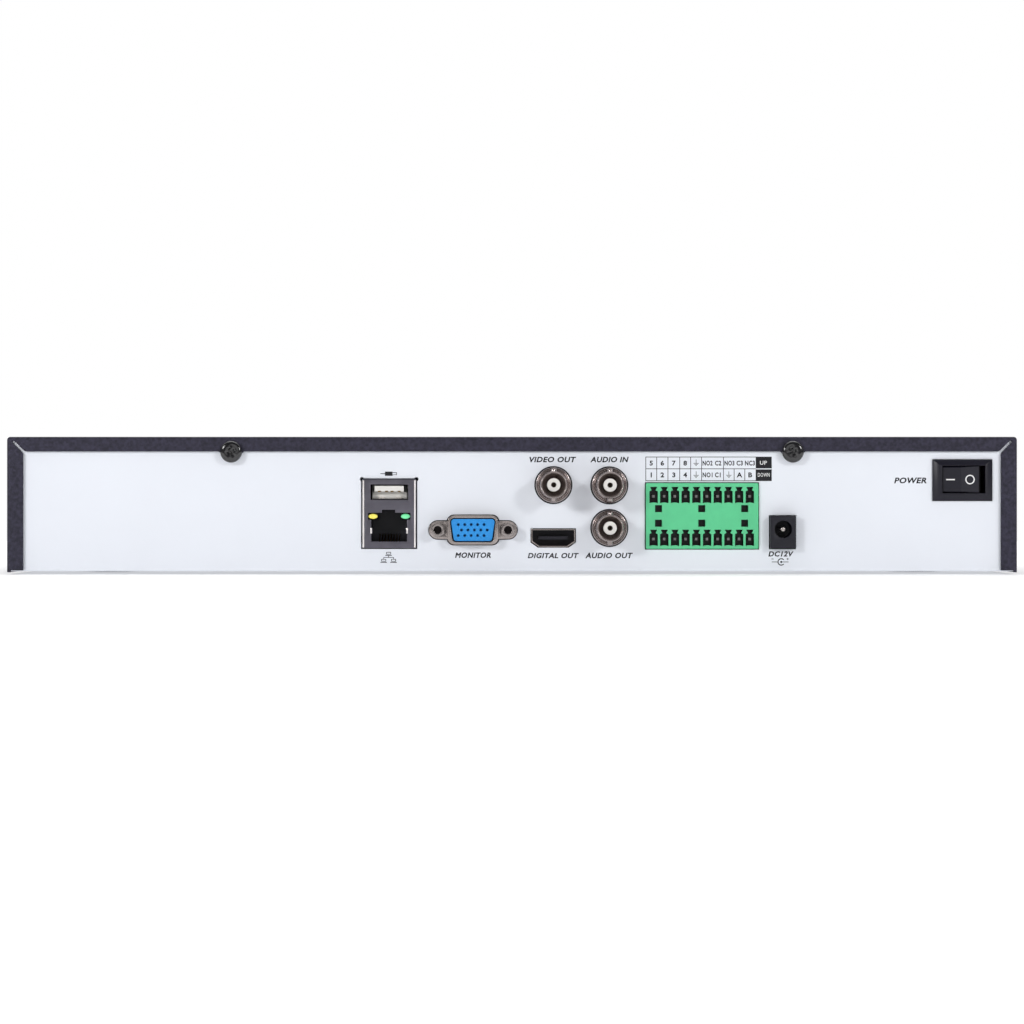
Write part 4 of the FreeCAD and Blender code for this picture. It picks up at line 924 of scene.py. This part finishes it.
# %% Cover screws
def recess_wedge(long, wide, depth, turn):
    """One arm of a cross recess, narrower towards its bottom."""
    clear_selection()
    bpy.ops.mesh.primitive_cube_add(size=1.0)
    wedge = bpy.context.object
    wedge.scale = (long * mm, wide * mm, depth * mm)
    bpy.ops.object.transform_apply(location=True, rotation=True, scale=True)
    bpy.ops.object.mode_set(mode="EDIT")
    bpy.ops.mesh.select_all(action="DESELECT")
    bpy.ops.object.mode_set(mode="OBJECT")
    for vertex in wedge.data.vertices:
        vertex.select = vertex.co.z < 0
    bpy.ops.object.mode_set(mode="EDIT")
    bpy.ops.transform.resize(value=(0.45, 0.6, 1.0), center_override=(0.0, 0.0, 0.0))
    bpy.ops.object.mode_set(mode="OBJECT")
    wedge.rotation_euler = (0.0, 0.0, turn)
    return wedge


screw_low, screw_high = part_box("cover_screws")
bench_r = (screw_high.z - screw_low.z) / 2 / mm
head_r = bench_r + 0.45
head_tall = 1.85
head = turned([(1.45, -3.0), (1.45, 0.0), (head_r - 0.15, 0.0), (head_r, 0.2), (head_r, 0.95),
               (head_r - 0.12, 1.3), (head_r - 0.4, 1.58), (head_r - 0.8, 1.74), (head_r - 1.4, 1.8),
               (0.3, head_tall)], 48, capped=True)
settle(head, "screw_head")
for turn in (math.radians(25), math.radians(115)):
    cutter = recess_wedge(3.9, 1.05, 2.4, turn)
    cutter.location = (0.0, 0.0, head_tall * mm)
    pick(head)
    modifier = head.modifiers.new("recess", "BOOLEAN")
    modifier.operation = "DIFFERENCE"
    modifier.object = cutter
    bpy.ops.object.modifier_apply(modifier=modifier.name)
    bpy.data.objects.remove(cutter)
bevelled(head, 0.07 * mm, 2, 40)
screw_mid_z = (screw_high.z + screw_low.z) / 2 / mm - floor_z / mm
screw_x = screw_high.x / mm - bench_r
head_seat = (panel_y - screw_low.y) / mm - head_tall
facing_back(head, -screw_x, screw_mid_z, head_seat)
heads = joined(copies(head, [Vector((2 * screw_x * mm, 0.0, 0.0))]), "cover_screw_heads")
pick(heads)
bpy.ops.object.shade_smooth_by_angle(angle=math.radians(28))
oiled_black = Finish("oiled_black", 0.10)
drifting(oiled_black, (0.003, 0.003, 0.004), 0.3, 0.8)
oiled_black.roughness(oiled_black.noise(0.5), 0.12, 0.20)
oiled_black.relief(oiled_black.noise(0.3), 0.004, 0.5)
oiled_black.coat(0.7, 0.08)
finish_piece(heads, "cover", "black_steel", oiled_black.material, "cover_screws")
print("screw heads", round(head_r * 2, 2), "mm across")

# %% [markdown]
# ## Terminal block
# The plug-in terminal block is moulded green all through, yet its pockets look black: they are deep,
# narrow and closed behind. That shade is painted: the finish darkens with depth behind the block's
# face, which the object coordinate across the panel gives directly. The pins in the pockets, and the
# sockets' gold contacts, take far darker colours than their plating, as painted shade too.

# %% Terminal block
def green_with_painted_pocket_shade():
    finish = Finish("terminal_green", 0.36)
    finish.colour(finish.noise(5.0), [(0.3, (0.094, 0.545, 0.256)), (0.7, (0.106, 0.610, 0.285))])
    # Painted shade: the green goes near black from 0.8 mm before the panel to 1.6 mm behind it, in the
    # pockets.
    paint_depth_shade(finish.material, panel_y - 0.8 * mm, panel_y + 1.6 * mm, (0.002, 0.008, 0.004))
    grain = finish.noise(0.5, 2.0)
    finish.roughness(grain, 0.30, 0.44)
    finish.relief(grain, 0.006, 0.7)
    return finish.material


nodes["terminal_header"].material_slots[0].material = green_with_painted_pocket_shade()
# Painted shade: the sockets' gold contacts and the block's tin pins take colours far darker than their
# plating, for the shade deep inside.
nodes["port_contacts"].material_slots[0].material = plated("gold_in_painted_shade", (0.20, 0.13, 0.06), 0.3, 0.45)
nodes["terminal_pins"].material_slots[0].material = plated("tin_in_painted_shade", (0.20, 0.20, 0.195), 0.30, 0.45)
print("terminal block finished")

# %% [markdown]
# ## Inside the stacked sockets
# The upper socket has its own folded shell, bright inside, with two spring fingers cut into its
# floor that press on the plug. Its walls are one strip here: a box open at both ends, made by
# deleting the end faces of a cube and giving what is left a wall. The lamps' lenses are lentils
# rather than blocks, so they are flattened spheres cut flat behind.

# %% Inside the stacked sockets
def open_tube(xs, zs, outs, wall):
    """A folded rectangular shell along Y, open at both ends."""
    clear_selection()
    middle = at(sum(xs) / 2, sum(zs) / 2, sum(outs) / 2)
    bpy.ops.mesh.primitive_cube_add(size=1.0, location=middle)
    tube = bpy.context.object
    tube.scale = ((xs[1] - xs[0]) * mm, (outs[1] - outs[0]) * mm, (zs[1] - zs[0]) * mm)
    bpy.ops.object.transform_apply(location=True, rotation=True, scale=True)
    bpy.ops.object.mode_set(mode="EDIT")
    bpy.ops.mesh.select_all(action="DESELECT")
    bpy.ops.object.mode_set(mode="OBJECT")
    for face in tube.data.polygons:
        face.select = abs(face.normal.y) > 0.9
    bpy.ops.object.mode_set(mode="EDIT")
    bpy.ops.mesh.delete(type="FACE")
    bpy.ops.object.mode_set(mode="OBJECT")
    modifier = tube.modifiers.new("sheet", "SOLIDIFY")
    modifier.thickness = wall * mm
    modifier.offset = -1.0
    bpy.ops.object.modifier_apply(modifier=modifier.name)
    return settle(tube, "open_tube")


def slab_between(xs, zs, outs):
    """A block given by its limits across, up and out of the panel."""
    clear_selection()
    bpy.ops.mesh.primitive_cube_add(size=1.0, location=at(sum(xs) / 2, sum(zs) / 2, sum(outs) / 2))
    piece = bpy.context.object
    piece.scale = ((xs[1] - xs[0]) * mm, (outs[1] - outs[0]) * mm, (zs[1] - zs[0]) * mm)
    return settle(piece, "slab")


throat_x, throat_z = (-50.35, -37.05), (25.65, 30.95)
liner = bevelled(open_tube(throat_x, throat_z, (-11.5, 0.75), 0.28), 0.06 * mm, 2)
fingers = []
for x in (-46.6, -40.4):
    clear_selection()
    bpy.ops.mesh.primitive_cube_add(size=1.0, location=at(x, 26.35, -2.6))
    finger = bpy.context.object
    finger.scale = (2.2 * mm, 4.2 * mm, 0.22 * mm)
    finger.rotation_euler = (math.radians(9), 0.0, 0.0)
    fingers.append(bevelled(settle(finger, "finger"), 0.08 * mm, 2))
throat = bevelled(slab_between((-49.9, -37.5), (25.95, 28.35), (-4.2, -3.0)), 0.1 * mm, 2)
finish_piece(throat, "case", "white_plastic", finishes["white_plastic"])
throat.name = "upper_socket_throat"
liner_plate = plated("liner_nickel", (0.86, 0.82, 0.78), 0.22, 0.34, (4.0, 1.0, 1.0), 0.8)
socket_liner = joined([liner] + fingers, "upper_socket_liner")
finish_piece(socket_liner, "case", "nickel", liner_plate)


def lentil(name, xs, zs, material, slot, node):
    """A flattened lens that bulges out of its slot."""
    clear_selection()
    bpy.ops.mesh.primitive_uv_sphere_add(segments=32, ring_count=18, radius=0.5)
    lens = bpy.context.object
    lens.scale = ((xs[1] - xs[0]) * mm, 1.5 * mm, (zs[1] - zs[0]) * mm)
    lens.location = at(sum(xs) / 2, sum(zs) / 2, 0.0)
    bpy.ops.object.transform_apply(location=True, rotation=True, scale=True)
    bpy.ops.object.mode_set(mode="EDIT")
    bpy.ops.mesh.select_all(action="SELECT")
    bpy.ops.mesh.bisect(plane_co=at(0.0, 0.0, -0.23), plane_no=(0.0, 1.0, 0.0), clear_outer=True,
                        use_fill=True)
    bpy.ops.object.mode_set(mode="OBJECT")
    lens = settle(lens, name)
    pick(lens)
    bpy.ops.object.shade_smooth_by_angle(angle=math.radians(60))
    return finish_piece(lens, "case", slot, material, node)


lens_z = (18.75, 20.55)
lentil("traffic_lamp_lens", (-51.2, -47.9), lens_z, finishes["lamp_yellow"], "lamp_yellow",
       "link_lamp_yellow")
lentil("link_lamp_lens", (-39.6, -36.3), lens_z, finishes["lamp_green"], "lamp_green",
       "link_lamp_green")


def bright_edge(x, zs):
    """The rounded fold where the shield's face turns into its side."""
    clear_selection()
    middle = at(x, sum(zs) / 2, net_face)
    bpy.ops.mesh.primitive_cylinder_add(vertices=16, radius=0.3 * mm, depth=(zs[1] - zs[0]) * mm,
                                        location=middle)
    bead = bpy.context.object
    bead.scale = (1.0, 0.4, 1.0)
    return bevelled(settle(bead, "bright_edge"), 0.05 * mm, 1)


net_face = 0.82
folds = [bright_edge(x, (8.55, 32.5)) for x in (-52.95, -34.6)]
for x in (-50.2, -37.35):
    clear_selection()
    bpy.ops.mesh.primitive_cube_add(size=1.0, location=at(x, 14.5, 0.9))
    tab = bpy.context.object
    tab.scale = (0.55 * mm, 0.35 * mm, 2.0 * mm)
    folds.append(bevelled(settle(tab, "shield_tab"), 0.12 * mm, 2))
# Painted highlight: the folds and tabs take a near white copy of the shield's nickel, for the line of light
# the folds catch.
fold_highlight_plate = plated("fold_nickel_painted_highlight", (0.92, 0.88, 0.86), 0.30, 0.36, grain_mm=3.0, relief_mm=0.0002)
finish_piece(joined(folds, "shield_folds"), "case", "nickel", fold_highlight_plate)
print("stacked sockets dressed")

# %% [markdown]
# ## Where the works stand
# One node may hold several separate solids, such as the five capacitors. `solids_in` finds them by
# following shared corners from triangle to triangle, and returns each one's box, so the small parts
# below are placed on the real pieces and not on guessed numbers.

# %% Where the works stand
def solids_in(node):
    """Boxes of a node's separate solids, as (low, high) pairs sorted from left to right."""
    mesh = nodes[node].data
    parent = {}

    def root(key):
        while parent[key] != key:
            key = parent[key]
        return key

    keys = [tuple(round(value, 6) for value in vertex.co) for vertex in mesh.vertices]
    for key in keys:
        parent.setdefault(key, key)
    for face in mesh.polygons:
        first = root(keys[face.vertices[0]])
        for index in face.vertices[1:]:
            parent[root(keys[index])] = first
    clusters = {}
    for key in parent:
        clusters.setdefault(root(key), []).append(key)
    boxes = [(Vector(map(min, zip(*cluster))), Vector(map(max, zip(*cluster))))
             for cluster in clusters.values()]
    return sorted(boxes, key=lambda box: (round(box[0].x, 4), round(box[0].y, 4)))


def slab(low, high, name="slab"):
    """A block between two corners, ready to be bevelled."""
    clear_selection()
    bpy.ops.mesh.primitive_cube_add(size=1.0, location=(low + high) / 2)
    piece = bpy.context.object
    piece.scale = high - low
    return settle(piece, name)


board_low, board_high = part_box("main_board")
board_top = board_high.z
print("board top at", round(board_top / mm, 2), "mm,", len(solids_in("capacitors")), "capacitors")

# %% [markdown]
# ## Capacitor tops
# An electrolytic capacitor is an aluminium can in a shrunk sleeve. The sleeve stops short of the top,
# which is scored so that it can vent, and a pale stripe on the sleeve marks the minus lead. Each top
# is a turned disc with two shallow grooves cut across it.

# %% Capacitor tops
def can_top(low, high):
    """A bright scored disc on one capacitor."""
    radius = (high.x - low.x) / 2 / mm
    disc = turned([(radius - 0.35, 0.0), (radius - 0.4, 0.14), (radius - 0.7, 0.16),
                   (radius - 0.8, 0.05), (0.4, 0.05)], 36, capped=True)
    disc.location = Vector(((low.x + high.x) / 2, (low.y + high.y) / 2, high.z - 0.01 * mm))
    disc = settle(disc, "can_top")
    middle = Vector(((low.x + high.x) / 2, (low.y + high.y) / 2, high.z + 0.07 * mm))
    bars = []
    for turn in (0.3, 0.3 + math.pi / 2):
        clear_selection()
        bpy.ops.mesh.primitive_cube_add(size=1.0, location=middle, rotation=(0, 0, turn))
        bar = bpy.context.object
        bar.scale = ((radius - 1.0) * 2 * mm, 0.28 * mm, 0.1 * mm)
        bars.append(settle(bar, "score"))
    return [disc] + bars


tops = []
stripes = []
for low, high in solids_in("capacitors"):
    tops += can_top(low, high)
    middle_x = (low.x + high.x) / 2
    stripes.append(bevelled(slab(Vector((middle_x - 0.9 * mm, low.y - 0.06 * mm, low.z + 0.6 * mm)),
                                 Vector((middle_x + 0.9 * mm, low.y + 0.3 * mm, high.z - 0.9 * mm))),
                            0.05 * mm, 1))
finish_piece(joined(tops, "capacitor_tops"), "case", "fin_aluminium",
             plated("can_aluminium", (0.62, 0.63, 0.64), 0.22, 0.36))
finish_piece(joined(stripes, "capacitor_stripes"), "case", "can_sleeve",
             moulded("stripe_print", (0.42, 0.46, 0.50), 0.4))

# %% [markdown]
# ## Chips with legs
# Small circuits stand on two rows of bent legs. A leg leaves the body level, drops, and then runs
# out along the board, so each is three short bars. The body's edges are bevelled, and a dimple
# marks its first leg.

# %% Chips with legs
leg_half = 0.17
# Each bar of a leg: from and to, out of the body's side, and its lower and upper height
leg_bars = ((0.0, 0.55, 0.45, 0.65), (0.4, 0.6, 0.02, 0.6), (0.4, 1.1, 0.02, 0.16))


def legged_chip(x, y, wide, deep, legs):
    """A small moulded circuit with legs along its two long sides."""
    low = Vector((x - wide / 2, y - deep / 2, board_top + 0.15 * mm))
    high = Vector((x + wide / 2, y + deep / 2, board_top + 1.55 * mm))
    body = bevelled(slab(low, high, "chip_body"), 0.12 * mm, 1)
    clear_selection()
    bpy.ops.mesh.primitive_cylinder_add(vertices=12, radius=0.3 * mm, depth=0.04 * mm,
                                        location=(low.x + 0.8 * mm, low.y + 0.8 * mm, high.z))
    dimple = settle(bpy.context.object, "dimple")
    pins = []
    for side in (-1, 1):
        edge = y + side * deep / 2
        for index in range(legs):
            pin_x = x + (index - (legs - 1) / 2) * wide / (legs + 0.4)
            for near, far, low_z, high_z in leg_bars:
                ends = sorted((edge + side * near * mm, edge + side * far * mm))
                pins.append(slab(Vector((pin_x - leg_half * mm, ends[0], board_top + low_z * mm)),
                                 Vector((pin_x + leg_half * mm, ends[1], board_top + high_z * mm))))
    return body, dimple, pins


bodies, dimples, pins = [], [], []
chip_plan = ((-38.0, -70.0, 10.0, 6.0, 8), (-8.0, -78.0, 12.0, 7.0, 10), (22.0, -76.0, 6.0, 4.0, 4),
             (40.0, -58.0, 7.0, 5.0, 5), (84.0, -38.0, 9.0, 6.0, 7), (-50.0, -47.0, 6.0, 4.0, 4),
             (93.0, -14.0, 8.0, 5.5, 6))
for x, y, wide, deep, legs in chip_plan:
    body, dimple, chip_pins = legged_chip(x * mm, y * mm, wide * mm, deep * mm, legs)
    bodies.append(body)
    dimples.append(dimple)
    pins += chip_pins
finish_piece(joined(bodies, "small_chip_bodies"), "case", "chip_black", finishes["chip_black"])
finish_piece(joined(dimples, "small_chip_marks"), "case", "chip_black",
             moulded("dimple_grey", (0.07, 0.07, 0.07), 0.5))
finish_piece(joined(pins, "small_chip_legs"), "case", "tin", finishes["tin"])
print("legged chips:", len(chip_plan))

# %% [markdown]
# ## Small parts by the hundred
# Resistors and ceramic capacitors are bricks a millimetre or two long with bright soldered ends. One
# of each is made, then copied to places drawn from a seeded generator, so that they fall the same
# way each time. A place is kept only if it clears everything that already stands on the board.

# %% Small parts by the hundred
on_board = ("heat_sink", "board_chips", "board_coils", "capacitors", "alarm_relays", "coin_cell_holder",
            "buzzer", "board_sockets", "board_screws", "network_body", "monitor_socket_body",
            "coax_bases", "terminal_header", "terminal_pins", "dc_socket_body", "digital_socket_shell")
taken = [corners for name in on_board for corners in solids_in(name)]
taken += [(Vector(((x - wide / 2 - 1.5) * mm, (y - deep / 2 - 2.0) * mm, 0.0)),
           Vector(((x + wide / 2 + 1.5) * mm, (y + deep / 2 + 2.0) * mm, 0.0)))
          for x, y, wide, deep, legs in chip_plan]
places_drawn = random.Random(11)
board_pitch = 1.27


def free_place(reach):
    """A random place on the board that is clear of everything by a reach."""
    for attempt in range(400):
        x = places_drawn.uniform(board_low.x + 2.5 * mm, board_high.x - 2.5 * mm)
        y = places_drawn.uniform(board_low.y + 8.0 * mm, board_high.y - 2.5 * mm)
        x, y = round(x / mm / board_pitch) * board_pitch * mm, round(y / mm / board_pitch) * board_pitch * mm
        if all(x < low.x - reach or x > high.x + reach or y < low.y - reach or y > high.y + reach
               for low, high in taken):
            taken.append((Vector((x, y, 0.0)), Vector((x, y, 0.0))))
            return Vector((x, y, 0.0))
    return None


def brick(long, wide, tall, end, name):
    """One soldered brick at the board's origin: its body and its two bright ends."""
    foot = Vector((0.0, 0.0, board_top))
    body = slab(foot + Vector((-long / 2 + end, -wide / 2, 0.02)) * mm,
                foot + Vector((long / 2 - end, wide / 2, tall)) * mm, name)
    ends = [slab(foot + Vector((side * long / 2 - (end if side > 0 else 0.0), -wide / 2, 0.0)) * mm,
                 foot + Vector((side * long / 2 + (0.0 if side > 0 else end), wide / 2, tall + 0.03)) * mm)
            for side in (-1, 1)]
    return body, joined(ends, name + "_ends")


def strewn(count, size, name, material, slot):
    """Copies one brick to many free places, half of them turned."""
    body, ends = brick(*size, name)
    reach = size[0] * 0.62 * mm
    spots = [spot for spot in (free_place(reach) for index in range(count)) if spot]
    for part, finish, part_slot in ((body, material, slot), (ends, finishes["tin"], "tin")):
        many = [part]
        for index, spot in enumerate(spots):
            twin = part.copy()
            twin.data = part.data.copy()
            bpy.context.scene.collection.objects.link(twin)
            twin.rotation_euler = (0.0, 0.0, math.radians(90) * (index % 2))
            twin.location = spot
            many.append(twin)
        bpy.data.objects.remove(many.pop(0))
        piece = joined(many, name + ("s" if part_slot == slot else "_solder"))
        pick(piece)
        bpy.ops.object.transform_apply(location=True, rotation=True, scale=True)
        finish_piece(piece, "case", part_slot, finish)
    return len(spots)


resistor_black = moulded("resistor_glaze", (0.015, 0.015, 0.018), 0.3)
ceramic_tan = moulded("ceramic_tan", (0.30, 0.19, 0.10), 0.42)
laid = strewn(110, (1.6, 0.8, 0.45, 0.3), "resistor", resistor_black, "chip_black")
laid += strewn(120, (1.6, 0.85, 0.8, 0.32), "ceramic_capacitor", ceramic_tan, "chip_black")
print("small parts laid:", laid)

# %% [markdown]
# ## Hard drive
# The drive's lid is a stamped plate, painted black, with a round cap over the motor, a smaller one
# over the arm's bearing, and six screws. Its label is plain paper here. The caps are turned, the
# screws are one turned head copied to each place, and the label is a thin slab with rounded corners.

# %% Hard drive
lid_low, lid_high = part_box("drive_lid")
lid_top = lid_high.z
spindle_low, spindle_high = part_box("drive_platters")
spindle = (spindle_low + spindle_high) / 2

lid_paint = Finish("drive_lid_paint", 0.42)
drifting(lid_paint, (0.020, 0.020, 0.022), 0.15, 6.0)
lid_paint.roughness(lid_paint.noise(1.2), 0.32, 0.50)
lid_paint.relief(lid_paint.noise(0.5), 0.008, 0.6)
rounded_copy("drive_lid", 0.35, lid_paint.material, 3, "case", "black_steel")
rounded_copy("drive_base", 0.35, finishes["cast_aluminium"], 2, "case", "cast_aluminium")


def cap(x, y, outline, name):
    """A turned cap that stands on the lid."""
    piece = turned(outline, 56, capped=True)
    piece.location = (x, y, lid_top)
    return settle(piece, name)


motor_cap = cap(spindle.x, spindle.y, [(15.0, 0.0), (14.6, 0.45), (12.4, 0.5), (12.0, 0.12), (9.0, 0.1),
                                       (8.7, 0.42), (2.2, 0.46), (2.0, 0.2)], "motor_cap")
bearing_cap = cap(-57.0 * mm, spindle.y - 14.8 * mm, [(6.2, 0.0), (6.0, 0.35), (4.4, 0.4), (4.2, 0.1),
                                                      (1.2, 0.1)], "bearing_cap")
lid_screw = turned([(2.3, 0.0), (2.3, 0.3), (2.0, 0.5), (1.1, 0.5), (1.05, 0.2), (0.4, 0.2)], 24, True)
inset = 4.0 * mm
screw_xs = (lid_low.x + inset, lid_high.x - inset, (lid_low.x + lid_high.x) / 2)
places = [(x, y) for x in screw_xs for y in (lid_low.y + inset, lid_high.y - inset)]
lid_screw.location = (places[0][0], places[0][1], lid_top)
lid_screw = settle(lid_screw, "lid_screw")
lid_screws = copies(lid_screw, [Vector((x - places[0][0], y - places[0][1], 0.0)) for x, y in places[1:]])
bright_parts = joined([motor_cap, bearing_cap] + lid_screws, "drive_caps_and_screws")
pick(bright_parts)
bpy.ops.object.shade_smooth_by_angle(angle=math.radians(30))
finish_piece(bright_parts, "case", "zinc_steel", finishes["zinc_steel"])

paper = Finish("plain_label_paper", 0.55)
drifting(paper, (0.74, 0.75, 0.76), 0.02, 12.0)
paper.relief(paper.noise(0.4), 0.002, 0.4)
paper.roughness(paper.noise(2.0), 0.46, 0.62)
label = bevelled(slab(Vector((lid_high.x - 58 * mm, spindle.y - 6 * mm, lid_top)),
                      Vector((lid_high.x - 9 * mm, lid_high.y - 9 * mm, lid_top + 0.12 * mm)), "label"),
                 0.05 * mm, 1, 60)
finish_piece(label, "case", "white_plastic", paper.material)
label.name = "drive_plain_label"
print("drive lid top at", round(lid_top / mm, 2), "mm")

# %% [markdown]
# ## Moulded parts inside
# The fan's duct, the feet, the board's sockets, its relays and coils are all moulded, so their edges
# are soft. Each takes a small bevel from `rounded_copy`.

# %% Moulded parts inside
rounded_copy("fan_frame", 0.35, finishes["black_plastic"], 2, "case", "black_plastic")
rounded_copy("rubber_feet", 0.25, finishes["rubber"], 2, "case", "rubber")
rounded_copy("board_sockets", 0.25, finishes["white_plastic"], 2, "case", "white_plastic")
rounded_copy("alarm_relays", 0.35, finishes["relay_plastic"], 2, "case", "relay_plastic")
rounded_copy("board_coils", 0.30, finishes["chip_black"], 2, "case", "chip_black")

# %% [markdown]
# ## Front
# The front is a plain moulded cap. Behind its dark window three small lamps show, marked only by
# their colour, and a round eye takes the remote control's light.

# %% Front
lens_low, lens_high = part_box("front_lens")
guide_boxes = solids_in("front_light_guides")
lens_face = lens_high.y
lamp_colours = (("front_lamp_power", (0.10, 0.75, 0.25), "lamp_green"),
                ("front_lamp_record", (0.85, 0.20, 0.08), "lamp_yellow"),
                ("front_lamp_network", (0.85, 0.72, 0.10), "lamp_yellow"))
for (low, high), (name, colour, slot) in zip(guide_boxes, lamp_colours):
    dot = turned([(1.15, 0.0), (1.1, 0.03), (0.3, 0.06)], 28, capped=True)
    dot.rotation_euler = (math.radians(-90), 0.0, 0.0)
    dot.location = ((low.x + high.x) / 2, lens_face, (low.z + high.z) / 2)
    finish_piece(settle(dot, name), "case", slot, clear_moulding(name + "_finish", colour, 0.1, 0.4))

eye = turned([(3.4, 0.0), (3.3, 0.03), (2.6, 0.05), (0.6, 0.07)], 40, capped=True)
eye.rotation_euler = (math.radians(-90), 0.0, 0.0)
eye.location = (lens_high.x - 12 * mm, lens_face, (lens_low.z + lens_high.z) / 2)
eye = settle(eye, "remote_eye")
finish_piece(eye, "case", "lens_plastic", moulded("eye_red", (0.050, 0.004, 0.006), 0.12, 0.8, 0.001))
print("front dressed, window's face at y", round(lens_face / mm, 2), "mm")
